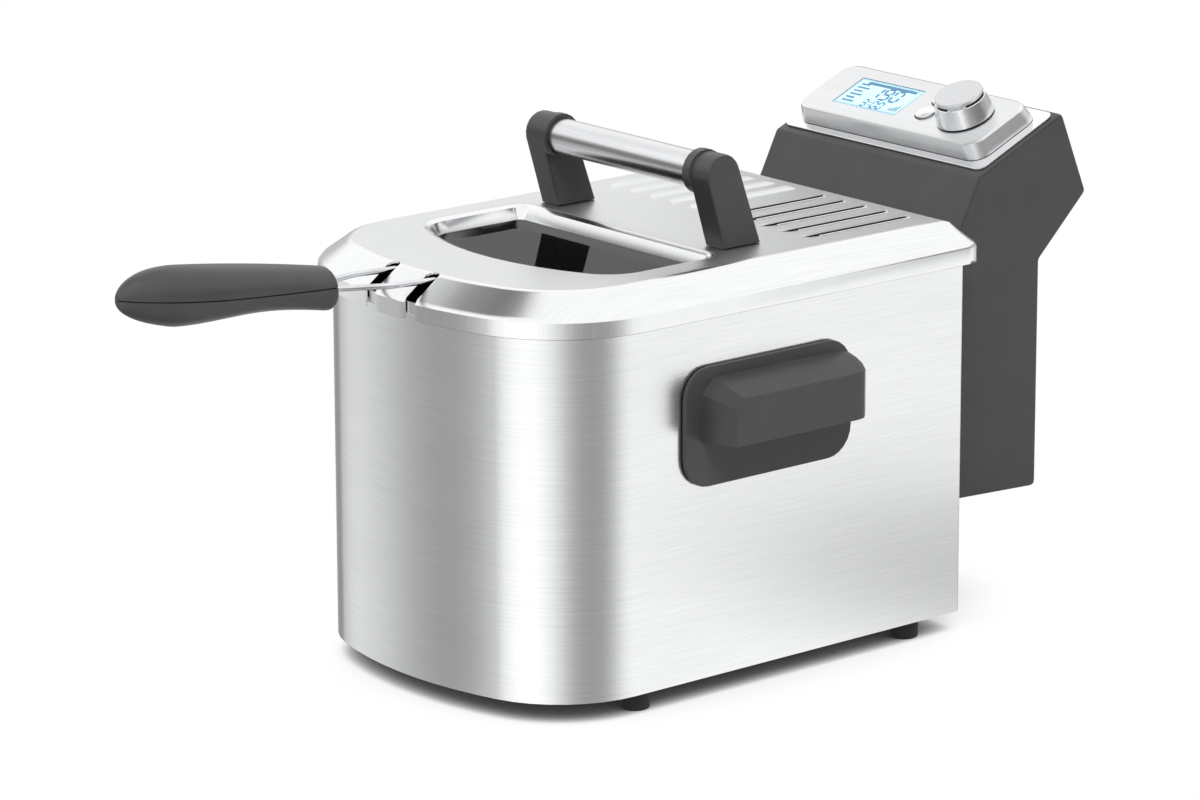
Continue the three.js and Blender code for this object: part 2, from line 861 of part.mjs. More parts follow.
function resetButton() {
  const face = stemRear + resetStand;
  return section(round(0, resetHeight, resetRadius, 16), face - resetLength, face);
}
add("reset_button", resetButton(), blackRubber);

// Circuit boards inside the head
function controlBoard() {
  const front = stemFront + stemFrontWall + seat;
  const face = front + boardThickness;
  const half = backCoverHalfWidth - coverLedge;
  const low = backCoverBottom + boardMargin;
  const high = backCoverTop - boardMargin;
  const board = box(-half, half, front, face, low, high);
  const onBoard = (x, width, depth, height) => {
    return box(x - width / 2, x + width / 2, face - 0.5, face + depth, high - 2 * height, high - height);
  };
  const transformer = onBoard(-half / 2, transformerWidth, transformerDepth, transformerHeight);
  const relay = onBoard(half / 2, relayWidth, relayDepth, relayHeight);
  return union(board, transformer, relay);
}
add("control_board", controlBoard(), boardGreen);

// Everything on the sloping panel: X across, Y up the slope, Z square to it.
const panel = new THREE.Group();
panel.position.set(0, headFrontTop.x, headFrontTop.y);
panel.rotation.x = panelTilt;
fryer.add(panel);

const flangeBottom = seat;
const flangeTop = flangeBottom + flangeThickness;
const flangeOutline = roundedRectangle(
  -flangeHalfWidth,
  flangeHalfWidth,
  flangeFront,
  flangeFront + flangeLength,
  flangeRadius,
);
add("panel_flange", prism(flangeOutline, flangeBottom, flangeTop), polishedSteel, panel);

const displayBoardTop = -headWall - seat;
const displayBoardOutline = roundedRectangle(
  -displayBoardHalfWidth,
  displayBoardHalfWidth,
  displayBoardFront,
  displayBoardFront + displayBoardLength,
  2,
  1,
);
const displayBoard = prism(displayBoardOutline, displayBoardTop - boardThickness, displayBoardTop);
add("display_board", displayBoard, boardGreen, panel);

// The fascia is a pressed cover with drafted walls and a soft upper edge.
const fasciaBottom = flangeTop + seat;
const fasciaTop = fasciaBottom + fasciaRise;
const buttonPlaces = [
  ["select_button_front", frontButtonAlong],
  ["select_button_rear", rearButtonAlong],
];
function fasciaRing(height, inset) {
  const rise = (height - fasciaBottom) / fasciaRise;
  const half = fasciaHalfWidth - rise * fasciaSideDraft - inset;
  const front = fasciaFront + rise * fasciaFrontDraft + inset;
  const rear = fasciaFront + fasciaLength - rise * fasciaRearDraft - inset;
  return level(roundedRectangle(-half, half, front, rear, fasciaRadius - inset, 5), height);
}
function fascia() {
  const soft = fasciaEdgeRadius;
  const cover = loft([
    fasciaRing(fasciaBottom, 0),
    fasciaRing(fasciaTop - soft, 0),
    fasciaRing(fasciaTop - 0.3 * soft, 0.3 * soft),
    fasciaRing(fasciaTop, soft),
  ]);
  const display = box(
    displayLeft,
    displayLeft + displayWidth,
    displayFront,
    displayFront + displayLength,
    fasciaTop - displayRecess,
    fasciaTop + 1,
  );
  const pocket = cylinder(buttonRadius + buttonGap, fasciaTop - buttonPocket, fasciaTop + 1);
  const buttonPockets = buttonPlaces.map(([, along]) => pocket.translate([buttonX, along, 0]));
  const shaftHole = cylinder(dialShaftRadius + seat, fasciaTop - dialShaftDepth, fasciaTop + 1, 16);
  return cut(cover, display, ...buttonPockets, shaftHole.translate([dialX, dialAlong, 0]));
}
add("panel_fascia", fascia(), brushedSteel, panel);

add(
  "display_lens",
  box(
    displayLeft + seat,
    displayLeft + displayWidth - seat,
    displayFront + seat,
    displayFront + displayLength - seat,
    fasciaTop - displayRecess + seat,
    fasciaTop - displayRecess + seat + lensThickness,
  ),
  displayBlue,
  panel,
);

const buttonBottom = fasciaTop - buttonPocket + seat + buttonTravel;
const buttonTop = fasciaTop + buttonStand;
const buttonProfile = [
  [0, buttonBottom],
  [buttonRadius, buttonBottom],
  [buttonRadius, buttonTop - 0.6],
  [buttonRadius - 0.6, buttonTop],
  [0, buttonTop],
];
for (const [name, along] of buttonPlaces) {
  add(name, turned(buttonProfile), polishedSteel, panel).position.set(buttonX, along, 0);
}

// Dial: a tapered skirt with a groove under its cap, on a shaft in the fascia
const dialBase = fasciaTop + dialGap;
const dialTop = dialBase + dialHeight;
const dialRadiusAt = (z) => {
  return THREE.MathUtils.mapLinear(z, dialBase, dialTop, dialBaseRadius, dialTopRadius);
};
const capBottom = dialTop - dialCapHeight;
const dialBoreTop = dialBase + dialBossHeight + 0.4;
function dialKnob() {
  const grooveBottom = capBottom - dialGroove;
  const grooveRadius = dialRadiusAt(capBottom) - 1.5 * dialGroove;
  const inside = dialBaseRadius - dialSkirtWall;
  const skirt = turned(
    [
      [0, dialBase + dialBossHeight],
      [inside, dialBase + dialBossHeight],
      [inside, dialBase],
      [dialRadiusAt(dialBase), dialBase],
      [dialRadiusAt(grooveBottom), grooveBottom],
      [grooveRadius, grooveBottom],
      [grooveRadius, capBottom - seat],
      [0, capBottom - seat],
    ],
    28,
  );
  const boss = cylinder(dialShaftRadius + 2.4, dialBase + 0.5, dialBoreTop + 1, 16);
  const bore = cylinder(dialShaftRadius + 0.1, dialBase - 1, dialBoreTop, 16);
  return cut(union(skirt, boss), bore);
}
const dialCapProfile = [
  [0, capBottom],
  [dialTopRadius - 0.3, capBottom],
  [dialTopRadius, capBottom + 0.6],
  [dialTopRadius, dialTop - 0.5],
  [dialTopRadius - 0.6, dialTop],
  [0, dialTop],
];
const dialShaft = cylinder(dialShaftRadius, fasciaTop - dialShaftDepth + seat, dialBoreTop - seat, 16);
const dial = new THREE.Group();
dial.position.set(dialX, dialAlong, 0);
panel.add(dial);
add("dial_knob", dialKnob(), brushedSteel, dial);
add("dial_cap", turned(dialCapProfile, 28), polishedSteel, dial);
add("dial_shaft", dialShaft, polishedSteel, dial);

// ---------------------------------------------------------------- element assembly

const plateRear = bridgeY + elementPlateThickness;

add(
  "element_bridge",
  slice(
    points2([
      [bridgeY, bridgeBottom],
      [headFrontY(bridgeBottom) - seat, bridgeBottom],
      [headFrontY(bridgeTop) - seat, bridgeTop],
      [bridgeY, bridgeTop],
    ]),
    -bridgeHalfWidth,
    bridgeHalfWidth,
  ),
  brushedSteel,
);
add(
  "element_plate",
  slice(
    roundedRectangle(bridgeY, plateRear, elementPlateBottom, bridgeBottom - seat, 0.3, 1),
    -bridgeHalfWidth,
    bridgeHalfWidth,
  ),
  brushedSteel,
);

function heatingElement() {
  const legY = bridgeY - seat - elementRadius;
  const at = (x, y, z) => new THREE.Vector3(x, y, z);
  const innerRear = legY - elementInnerGap;
  const leftHalf = [
    at(-elementLegX, legY, bridgeBottom - elementTopDrop),
    at(-elementLegX, legY, elementZ),
    at(-elementLegX, legY - elementFoot, elementZ),
    at(-elementOuterX, legY - elementFoot - elementSpread, elementZ),
    at(-elementOuterX, elementFrontY, elementZ),
    at(-elementInnerX, elementFrontY, elementZ),
    at(-elementInnerX, innerRear, elementZ),
  ];
  const rightHalf = leftHalf.map(({ x, y, z }) => at(-x, y, z)).reverse();
  return bar(rounded([...leftHalf, ...rightHalf], elementBend, 3), elementRadius, 6);
}
add("heating_element", heatingElement(), polishedSteel);

function elementStrap() {
  const half = elementOuterX + elementRadius + seat + strapThickness;
  const bottom = elementZ - elementRadius - seat - strapThickness;
  const outline = points2([
    [-half, bottom],
    [half, bottom],
    [half, elementZ],
    [half - strapThickness, elementZ],
    [half - strapThickness, bottom + strapThickness],
    [strapThickness - half, bottom + strapThickness],
    [strapThickness - half, elementZ],
    [-half, elementZ],
  ]);
  return section(outline, strapY - strapWidth / 2, strapY + strapWidth / 2);
}
add("element_strap", elementStrap(), brushedSteel);

const probeTop = probeBottom + probeLength;
const probeProfile = [
  [0, probeBottom],
  [probeRadius * 0.7, probeBottom + 0.7],
  [probeRadius, probeBottom + probeRadius],
  [probeRadius, probeTop - probeRadius],
  [probeRadius * 0.7, probeTop - 0.7],
  [0, probeTop],
];
for (const [name, side] of [["temperature_probe", -1], ["limit_probe", 1]]) {
  const probe = add(name, turned(probeProfile, 12), polishedSteel);
  probe.position.set(side * probeX, bridgeY - seat - probeRadius, 0);
}

// ---------------------------------------------------------------- basket

const hoop = (z) => {
  const outline = roundedRectangle(
    -basketHalfWidth,
    basketHalfWidth,
    basketFront,
    basketRear,
    basketCornerRadius,
    4,
  );
  return bar(level(outline, z), frameWireRadius, 6, true);
};
function basketFrame() {
  const inset = basketCornerRadius * (1 - Math.SQRT1_2);
  const uprights = [];
  for (const x of [inset - basketHalfWidth, basketHalfWidth - inset]) {
    for (const y of [basketFront + inset, basketRear - inset]) {
      const post = cylinder(frameWireRadius * 0.9, basketBottom, basketTop, 6);
      uprights.push(post.translate([x, y, 0]));
    }
  }
  return union(hoop(basketBottom), hoop(basketTop), ...uprights);
}
add("basket_frame", basketFrame(), polishedSteel);

// A flat grille of crossing wires, centred, lying in XY.
function grille(width, height) {
  const columns = Math.round(width / meshPitch);
  const rows = Math.round(height / meshPitch);
  const stepX = (width - meshWire) / columns;
  const stepY = (height - meshWire) / rows;
  const half = meshWire / 2;
  const holes = [];
  for (let column = 0; column < columns; column += 1) {
    for (let row = 0; row < rows; row += 1) {
      const x = column * stepX - width / 2;
      const y = row * stepY - height / 2;
      holes.push(box(x + meshWire, x + stepX, y + meshWire, y + stepY, -meshWire, meshWire));
    }
  }
  return cut(box(-width / 2, width / 2, -height / 2, height / 2, -half, half), ...holes);
}
const wallGap = frameWireRadius + seat;
const wallHeight = basketHeight - 2 * wallGap;
const wallMiddle = (basketBottom + basketTop) / 2;
const sideLength = basketRear - basketFront - 2 * basketCornerRadius;
const endLength = 2 * (basketHalfWidth - basketCornerRadius);
const basketMiddleY = (basketFront + basketRear) / 2;
for (const [name, y] of [["basket_front_mesh", basketFront], ["basket_rear_mesh", basketRear]]) {
  const wall = add(name, grille(endLength, wallHeight), polishedSteel);
  wall.position.set(0, y, wallMiddle);
  wall.rotation.x = Math.PI / 2;
}
for (const [name, side] of [["basket_left_mesh", -1], ["basket_right_mesh", 1]]) {
  const wall = add(name, grille(sideLength, wallHeight), polishedSteel);
  wall.position.set(side * basketHalfWidth, basketMiddleY, wallMiddle);
  wall.rotation.set(Math.PI / 2, Math.PI / 2, 0);
}
const floorHalf = basketHalfWidth - wallGap;
const floorLength = basketRear - basketFront - 2 * wallGap;
const floorOutline = roundedRectangle(
  -floorHalf,
  floorHalf,
  -floorLength / 2,
  floorLength / 2,
  basketCornerRadius - wallGap,
);
const floorMesh = grille(2 * floorHalf, floorLength).intersect(prism(floorOutline, -2, 2));
add("basket_floor_mesh", floorMesh, polishedSteel).position.set(0, basketMiddleY, basketBottom);

// Bracket that carries the handle wires up and over the basket's front rim
const bracketHalf = notchSpacing / 2 + bracketMargin;
const crossbarY = basketFront - crossbarReach;
const wireInnerHeight = shellBottom + wireNotchHeight - wireEndDrop;
const crossbarZ = wireInnerHeight - 2 * handleWireRadius - seat;
function basketBracket() {
  const footY = basketFront - 2 * frameWireRadius - seat;
  const path = [
    new THREE.Vector3(-bracketHalf, footY, basketTop - bracketFoot),
    new THREE.Vector3(-bracketHalf, footY, basketTop + bracketKnee),
    new THREE.Vector3(-bracketHalf, crossbarY, crossbarZ),
    new THREE.Vector3(bracketHalf, crossbarY, crossbarZ),
    new THREE.Vector3(bracketHalf, footY, basketTop + bracketKnee),
    new THREE.Vector3(bracketHalf, footY, basketTop - bracketFoot),
  ];
  return bar(rounded(path, 5, 2), frameWireRadius, 6);
}
add("basket_bracket", basketBracket(), polishedSteel);

// ---------------------------------------------------------------- basket handle

const gripEndZ = shellBottom + gripEndHeight;
const notchZ = shellBottom + wireNotchHeight;
function handleWire(side, radius = handleWireRadius) {
  const notchX = (side * notchSpacing) / 2;
  const gripX = side * gripWireX;
  const path = [
    new THREE.Vector3(notchX, crossbarY + 2 * handleWireRadius, wireInnerHeight),
    new THREE.Vector3(notchX, crossbarY - 2 * handleWireRadius, wireInnerHeight),
    new THREE.Vector3(notchX, notchEndY, notchZ),
    new THREE.Vector3(notchX, (notchEndY + gripEndY) / 2, (notchZ + gripEndZ) / 2),
    new THREE.Vector3(gripX, gripEndY, gripEndZ),
    new THREE.Vector3(gripX, gripEndY - wireGripDepth, gripEndZ + wireGripRise),
  ];
  return bar(rounded(path, wireBend, 2), radius, 8);
}

// The grip arches upwards to its tip, hollows underneath for the fingers and is split along
// a gentle seam. Its heights are above the reference line, for t from 0 at its inner end to 1.
const gripTopAt = (t) => gripDepth * (0.456 + 1.13 * t - 0.289 * t * t);
const gripArchAt = (t) => 0.213 * Math.sin(Math.PI * Math.min(t / 0.75, 1));
const gripBottomAt = (t) => gripDepth * (0.226 * t - 0.544 + gripArchAt(t));
const gripSeamAt = (t) => gripDepth * (0.059 + 0.427 * t + 0.1 * t * t * t);
const gripWidthAt = (t) => gripHalfWidth + gripSwell * Math.sin(Math.PI * (t - 0.15));
// How a surface closes on the tip, once t is past its start.
const closing = (t, start) => {
  return t < start ? 1 : Math.sqrt(Math.max(1 - ((t - start) / (1 - start)) ** 2, 0.001));
};
function gripRing(t, inset) {
  const top = gripTipRise + (gripTopAt(t) - gripTipRise) * closing(t, 0.71) - inset;
  const bottom = gripTipRise + (gripBottomAt(t) - gripTipRise) * closing(t, 0.44) + inset;
  const wide = gripWidthAt(t) * closing(t, 0.5) - inset;
  const height = (top - bottom) / 2;
  return round(0, 0, 1, 16).map(({ x, y }) => {
    return new THREE.Vector3(wide * x, gripEndY - gripLength * t, gripEndZ + bottom + height + height * y);
  });
}
function gripSolid() {
  const stations = 13;
  const rings = [gripRing(0, gripEndRound), gripRing((0.3 * gripEndRound) / gripLength, 0.3 * gripEndRound)];
  const first = gripEndRound / gripLength;
  for (let i = 0; i < stations; i += 1) {
    const t = first + (1 - first) * Math.sin((i / (stations - 1)) * (Math.PI / 2));
    rings.push(gripRing(t, 0));
  }
  return loft(rings);
}
function seamBlock(upper) {
  const edge = [];
  const steps = 8;
  for (let i = 0; i <= steps; i += 1) {
    const t = -0.05 + (1.1 * i) / steps;
    edge.push([gripEndY - gripLength * t, gripEndZ + gripSeamAt(t) + (upper ? gripSeam : 0)]);
  }
  const far = gripEndZ + (upper ? gripLength : -gripLength);
  const ends = [
    [gripEndY - gripLength * 1.05, far],
    [gripEndY + gripLength * 0.05, far],
  ];
  const outline = points2([...edge, ...ends]);
  return slice(upper ? outline.reverse() : outline, -2 * gripHalfWidth, 2 * gripHalfWidth);
}
const wires = [["left", -1], ["right", 1]];
const wireChannels = wires.map(([, side]) => handleWire(side, handleWireRadius + seat));
for (const [hand, side] of wires) {
  add(`handle_wire_${hand}`, handleWire(side), polishedSteel);
}
const grip = cut(gripSolid(), ...wireChannels);
add("grip_upper", grip.intersect(seamBlock(true)), darkPlastic);
add("grip_lower", grip.intersect(seamBlock(false)), darkPlastic);

// ---------------------------------------------------------------- lid

// Offsets an open profile of [inset, height] points to its inner side.
function thickened(profile, wall) {
  return profile.map(([inset, z], i) => {
    const [inset0, z0] = profile[Math.max(i - 1, 0)];
    const [inset1, z1] = profile[Math.min(i + 1, profile.length - 1)];
    const length = Math.hypot(inset1 - inset0, z1 - z0);
    return [inset + (wall * (z1 - z0)) / length, z - (wall * (inset1 - inset0)) / length];
  });
}

const ventPlaces = [-1, 1].flatMap((side) => {
  return Array.from({ length: ventsPerSide }, (_, i) => side * (ventOffset - i * ventPitch));
});

function lidShell() {
  const outside = [
    [0, rimBottom],
    [0, rimTop - lidEdge],
    [lidEdge * 1.2, rimTop + lidEdge * 0.7],
    [chamferRun - lidEdge, lidTop - lidEdge * 0.8],
    [chamferRun + lidEdge * 1.5, lidTop],
  ];
  const inside = thickened(outside, lidWall).reverse();
  inside[0] = [chamferRun + lidEdge * 1.5, lidTop - lidWall];
  inside[inside.length - 1] = [lidWall, rimBottom];
  const skin = wrap(lidPlan, [...inside, ...outside], false);
  const windowHole = prism(dPlan(windowPlan, -wellSoft), lidTop - 2 * wellDepth, lidTop + 5);
  const well = wrap(windowPlan, [
    [-wellSoft - 0.3, lidTop - lidWall],
    [-wellSoft - 0.3, lidTop],
    [-0.4 * wellSoft, lidTop - 0.15 * wellSoft],
    [0.3 * wellSoft, lidTop - 0.5 * wellSoft],
    [wellRun, lidTop - wellSlopeDepth],
    [wellRun, lidTop - wellDepth],
    [wellRun + wellLip, lidTop - wellDepth],
    [wellRun + wellLip, lidTop - wellDepth - lidWall],
    [wellRun - lidWall, lidTop - wellDepth - lidWall],
    [wellRun - lidWall, lidTop - wellSlopeDepth],
    [0.3 * wellSoft - lidWall, lidTop - 0.5 * wellSoft - 0.5 * lidWall],
    [-0.4 * wellSoft - 0.5 * lidWall, lidTop - 0.15 * wellSoft - lidWall],
  ]);
  const vents = ventPlaces.map((x) => {
    return prism(slotOutline(x, ventWidth, ventFrontY, ventRearY, 4), lidTop - 3, lidTop + 3);
  });
  const notches = [-1, 1].map((side) => {
    const x = (side * notchSpacing) / 2;
    return prism(
      slotOutline(x, notchWidth, nose - 2 * rimOverhang, notchEndY),
      rimBottom - 1,
      lidTop + 1,
    );
  });
  const slotHalf = bridgeHalfWidth + bridgeClearance;
  const slotTop = bridgeTop + bridgeClearance / 2;
  const bridgeCut = box(-slotHalf, slotHalf, lidRear - 4 * lidWall, lidRear + 2, rimBottom - 1, slotTop);
  return cut(union(cut(skin, windowHole), well), ...vents, ...notches, bridgeCut);
}
add("lid_shell", lidShell(), brushedSteel);

// Curbs that sit on the bowl's flange and drop inside it, left and right of the wires and bridge.
function locatingCurbs() {
  const bottom = bowlFlangeTop + seat;
  const outer = lidWall + seat - rimOverhang;
  const hook = bowlInset + bowlWall + curbPlay;
  const plan = { ...bodyPlan, rearRadius: lidRearRadius };
  const ring = wrap(plan, [
    [outer, bottom],
    [outer, bottom + curbWall],
    [hook + curbWall, bottom + curbWall],
    [hook + curbWall, bottom - curbDrop],
    [hook, bottom - curbDrop],
    [hook, bottom],
  ]);
  const frontGap = notchSpacing / 2 + notchWidth;
  const rearGap = bridgeHalfWidth + bridgeClearance;
  const tall = [bottom - 2 * curbDrop, bottom + 2 * curbDrop];
  const front = box(-frontGap, frontGap, 2 * nose, nose / 2, ...tall);
  const rear = box(-rearGap, rearGap, nose / 2, bodyLength, ...tall);
  return cut(ring, front, rear);
}
const curbs = locatingCurbs().decompose();
const curbSide = (curb) => Math.sign(curb.boundingBox().min[0] + curb.boundingBox().max[0]);
for (const curb of curbs) {
  add(curbSide(curb) < 0 ? "lid_curb_left" : "lid_curb_right", curb, brushedSteel);
}

const lipTop = lidTop - wellDepth;
const glassInset = wellRun + seat;
const sealBottom = lipTop + seat;
const glassBottom = sealBottom + sealThickness + seat;
add(
  "window_seal",
  wrap(windowPlan, [
    [glassInset, sealBottom],
    [glassInset, sealBottom + sealThickness],
    [wellRun + wellLip, sealBottom + sealThickness],
    [wellRun + wellLip, sealBottom],
  ]),
  blackRubber,
);
add(
  "lid_window",
  prism(dPlan(windowPlan, glassInset), glassBottom, glassBottom + glassThickness),
  smokedGlass,
);

// Filter under the vents
const filterTop = lidTop - lidWall - seat;
const filterBottom = filterTop - filterDepth;
function filterOutline(inset) {
  const half = ventOffset + filterMargin + ventWidth / 2 - inset;
  const front = ventFrontY - filterMargin + inset;
  const rear = ventRearY + filterMargin - inset;
  return roundedRectangle(-half, half, front, rear, filterRadius - inset);
}
function filterTray() {
  const tray = prism(filterOutline(0), filterBottom, filterTop);
  const hollow = prism(filterOutline(filterWall), filterBottom + filterWall, filterTop + 1);
  const slots = ventPlaces.map((x) => {
    const outline = slotOutline(x, filterSlotWidth, ventFrontY, ventRearY, 2);
    return prism(outline, filterBottom - 1, filterBottom + filterWall + 1);
  });
  return cut(tray, hollow, ...slots);
}
add("filter_tray", filterTray(), darkPlastic);
const felt = prism(filterOutline(filterWall + seat), filterBottom + filterWall + seat, filterTop - seat);
add("vent_filter", felt, filterGrey);

// Lid handle: leaning posts with round heads that hold a tube
function handlePost() {
  const foot = lidTop + seat;
  const barZ = lidTop + barHeight;
  const circle = (radius) => round(barY, barZ, radius, 20);
  const lean = THREE.MathUtils.degToRad(postLean);
  const outline = [
    new THREE.Vector2(postFootFront, foot),
    new THREE.Vector2(postFootRear, foot),
    ...arc(barY + postHeadOffset, barZ, postHeadRadius, lean, Math.PI + lean * 0.7, 10),
  ];
  const post = slice(outline, postInner, postInner + postThickness, postBevel);
  const collar = slice(circle(collarRadius), postInner - collarLength, postInner + postBevel + 0.5);
  const socket = slice(
    circle(barRadius + seat),
    postInner - collarLength - 1,
    postInner + barSocketDepth,
  );
  return cut(union(post, collar), socket);
}
const rightPost = handlePost();
add("lid_post_right", rightPost, darkPlastic);
add("lid_post_left", mirrored(rightPost), darkPlastic);

function handleBar() {
  const barHalf = postInner + barSocketDepth - seat;
  const tube = new THREE.Shape(round(0, 0, barRadius, 24));
  tube.holes.push(new THREE.Path(round(0, 0, barRadius - barWall, 24)));
  const geometry = new THREE.ExtrudeGeometry(tube, { depth: 2 * barHalf, bevelEnabled: false });
  const lying = geometry.translate(0, 0, -barHalf).applyMatrix4(crosswise);
  return solid(lying.translate(0, barY, lidTop + barHeight));
}
add("lid_handle_bar", handleBar(), brushedSteel);

// ---------------------------------------------------------------- origin

const middle = new THREE.Box3().setFromObject(fryer).getCenter(new THREE.Vector3());
fryer.position.y = -middle.y;

export default fryer;
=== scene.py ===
# Countertop deep fryer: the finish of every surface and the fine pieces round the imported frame.
import json
import math

import bmesh
import bpy
from mathutils import Matrix, Vector


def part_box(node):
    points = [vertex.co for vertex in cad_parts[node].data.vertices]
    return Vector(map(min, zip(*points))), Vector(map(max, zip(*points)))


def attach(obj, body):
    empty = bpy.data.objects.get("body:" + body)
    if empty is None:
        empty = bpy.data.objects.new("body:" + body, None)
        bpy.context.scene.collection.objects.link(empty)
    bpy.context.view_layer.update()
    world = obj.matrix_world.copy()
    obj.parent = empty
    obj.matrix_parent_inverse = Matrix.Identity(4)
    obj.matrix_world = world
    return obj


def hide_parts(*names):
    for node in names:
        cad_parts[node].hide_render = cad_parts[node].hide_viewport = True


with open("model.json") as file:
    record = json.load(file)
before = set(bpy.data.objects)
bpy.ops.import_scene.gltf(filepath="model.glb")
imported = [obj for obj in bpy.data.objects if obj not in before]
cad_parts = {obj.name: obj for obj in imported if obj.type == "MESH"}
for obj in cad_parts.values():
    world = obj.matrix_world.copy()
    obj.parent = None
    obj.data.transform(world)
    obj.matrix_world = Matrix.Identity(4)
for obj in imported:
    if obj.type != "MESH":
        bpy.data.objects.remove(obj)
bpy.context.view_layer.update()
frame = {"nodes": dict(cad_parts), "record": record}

MM = 0.001
LID_TOP = 235.9  # above the worktop, in mm
REAR_WALL = 2.6  # the housing's back wall behind the datum plane, in mm
MERGE = 0.002 * MM  # points closer than this are one
nodes = frame["nodes"]
record = frame["record"]
bodies = record["behaviour"]["bodies"]
body_of = {piece: body for body, held in bodies.items() for piece in held}
slot_of = {part["node"]: part["material_slot"] for part in record["subparts"]}
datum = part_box("outer_shell")[1][1] - REAR_WALL * MM


def at(x, y, z):
    """A place in metres, from millimetres measured from the datum plane at floor level."""
    return Vector((x * MM, datum + y * MM, z * MM))


# ---------------------------------------------------------------- materials


def linear(text):
    """An sRGB hex colour as linear RGBA."""
    channels = [int(text[i : i + 2], 16) / 255 for i in (1, 3, 5)]
    return [c / 12.92 if c <= 0.04045 else ((c + 0.055) / 1.055) ** 2.4 for c in channels] + [1]


def node(tree, kind, inputs=None, **settings):
    """Adds a shader node: its settings, and for each input a number or the socket that feeds it."""
    made = tree.nodes.new("ShaderNode" + kind)
    for name, value in settings.items():
        setattr(made, name, value)
    for name, value in (inputs or {}).items():
        if isinstance(value, bpy.types.NodeSocket):
            tree.links.new(value, made.inputs[name])
        else:
            made.inputs[name].default_value = value
    return made


def emptied(owner):
    """The node tree of a material or world, with nothing in it."""
    owner.use_nodes = True
    owner.node_tree.nodes.clear()
    return owner.node_tree


def surface(name, color, roughness, metallic=0.0, **more):
    """A Principled material with its output, ready for patterns."""
    material = bpy.data.materials.new(name)
    tree = emptied(material)
    basics = {"Base Color": linear(color), "Roughness": roughness, "Metallic": metallic}
    extras = {socket.replace("_", " "): value for socket, value in more.items()}
    shader = node(tree, "BsdfPrincipled", {**basics, **extras})
    node(tree, "OutputMaterial", {"Surface": shader.outputs[0]})
    return material, tree, shader


# Noise keeps to the middle of its range from 0 to 1, and this is where its patterns turn over.
NOISE_LOW, NOISE_HIGH = 0.3, 0.7


def streaks(tree, per_metre, detail=3.0):
    """Noise drawn out along a direction, by its features per metre along each axis."""
    where = node(tree, "TexCoord").outputs["Object"]
    drawn = node(tree, "Mapping", {"Vector": where, "Scale": per_metre}).outputs[0]
    return node(tree, "TexNoise", {"Vector": drawn, "Scale": 1.0, "Detail": detail}).outputs["Fac"]


def patterned(tree, shader, tint, dulling, tones, roughness):
    """Varies the tone by one noise and the roughness by another, over the middle of each."""
    mix = node(tree, "ValToRGB", {"Fac": tint})
    for element, position, tone in zip(mix.color_ramp.elements, (NOISE_LOW, NOISE_HIGH), tones):
        element.position = position
        element.color = linear(tone)
    tree.links.new(mix.outputs["Color"], shader.inputs["Base Color"])
    ends = {"From Min": NOISE_LOW, "From Max": NOISE_HIGH}
    ends |= {"To Min": roughness[0], "To Max": roughness[1]}
    spread = node(tree, "MapRange", {"Value": dulling, **ends})
    tree.links.new(spread.outputs[0], shader.inputs["Roughness"])


def relief(tree, shader, height, depth):
    """Presses a pattern into the surface, to a depth in metres."""
    bump = node(tree, "Bump", {"Height": height, "Strength": 1.0, "Distance": depth})
    tree.links.new(bump.outputs[0], shader.inputs["Normal"])


def brushed_steel(name, fine, broad, tones=("#dcddde", "#e4e5e6"), roughness=0.25):
    """Sheet steel with brush lines one way, 4 microns deep: they roughen, tint and furrow it."""
    material, tree, shader = surface(name, tones[1], roughness, 1.0)
    lines = streaks(tree, fine)
    bands = streaks(tree, broad, 2.0)
    patterned(tree, shader, lines, bands, tones, (roughness - 0.015, roughness + 0.02))
    relief(tree, shader, lines, 0.000004)
    return material


def coarser_above(material, height, roughness):
    """Makes the level top of a pressing duller than its drawn flanks."""
    tree = material.node_tree
    shader = tree.nodes["Principled BSDF"]
    where = node(tree, "TexCoord").outputs["Object"]
    place = node(tree, "SeparateXYZ", {0: where}).outputs["Z"]
    above = node(tree, "Math", {0: place, 1: height}, operation="GREATER_THAN").outputs[0]
    drawn = shader.inputs["Roughness"].links[0].from_socket
    mix = node(tree, "Mix", {"Factor": above, "A": drawn, "B": roughness})
    tree.links.new(mix.outputs[0], shader.inputs["Roughness"])


def spun_steel(name, centre, tilt, tones, roughness):
    """Turned metal with concentric cutter marks, 1.1 mm apart, round a tilted axis."""
    material, tree, shader = surface(name, tones[1], roughness, 1.0)
    where = node(tree, "TexCoord").outputs["Object"]
    own = {"Vector": where, "Location": centre, "Rotation": (tilt, 0, 0)}
    level = node(tree, "Mapping", own, vector_type="TEXTURE").outputs[0]
    waves = {"Vector": level, "Scale": 280, "Distortion": 1.0}
    marks = node(tree, "TexWave", waves, wave_type="RINGS", rings_direction="Z").outputs["Fac"]
    patterned(tree, shader, marks, marks, tones, (roughness, roughness + 0.04))
    relief(tree, shader, marks, 0.000002)
    return material


def smeared(name, tones, roughness, metallic=0.0, per_metre=60, **more):
    """A smooth surface with faint smears, which tint it and take the edge off its shine."""
    material, tree, shader = surface(name, tones[1], roughness, metallic, **more)
    smears = streaks(tree, (per_metre, per_metre, per_metre), 4.0)
    patterned(tree, shader, smears, smears, tones, (roughness * 0.75, roughness * 1.4))
    return material


def moulded(name, tones, roughness, grain=2600, depth=0.00002, **more):
    """Moulded plastic or rubber with a fine spark-eroded grain and a slight mottle."""
    material, tree, shader = surface(name, tones[1], roughness, **more)
    mottle = streaks(tree, (45, 45, 45), 3.0)
    patterned(tree, shader, mottle, mottle, tones, (roughness - 0.03, roughness + 0.04))
    relief(tree, shader, streaks(tree, (grain, grain, grain), 2.0), depth)
    return material


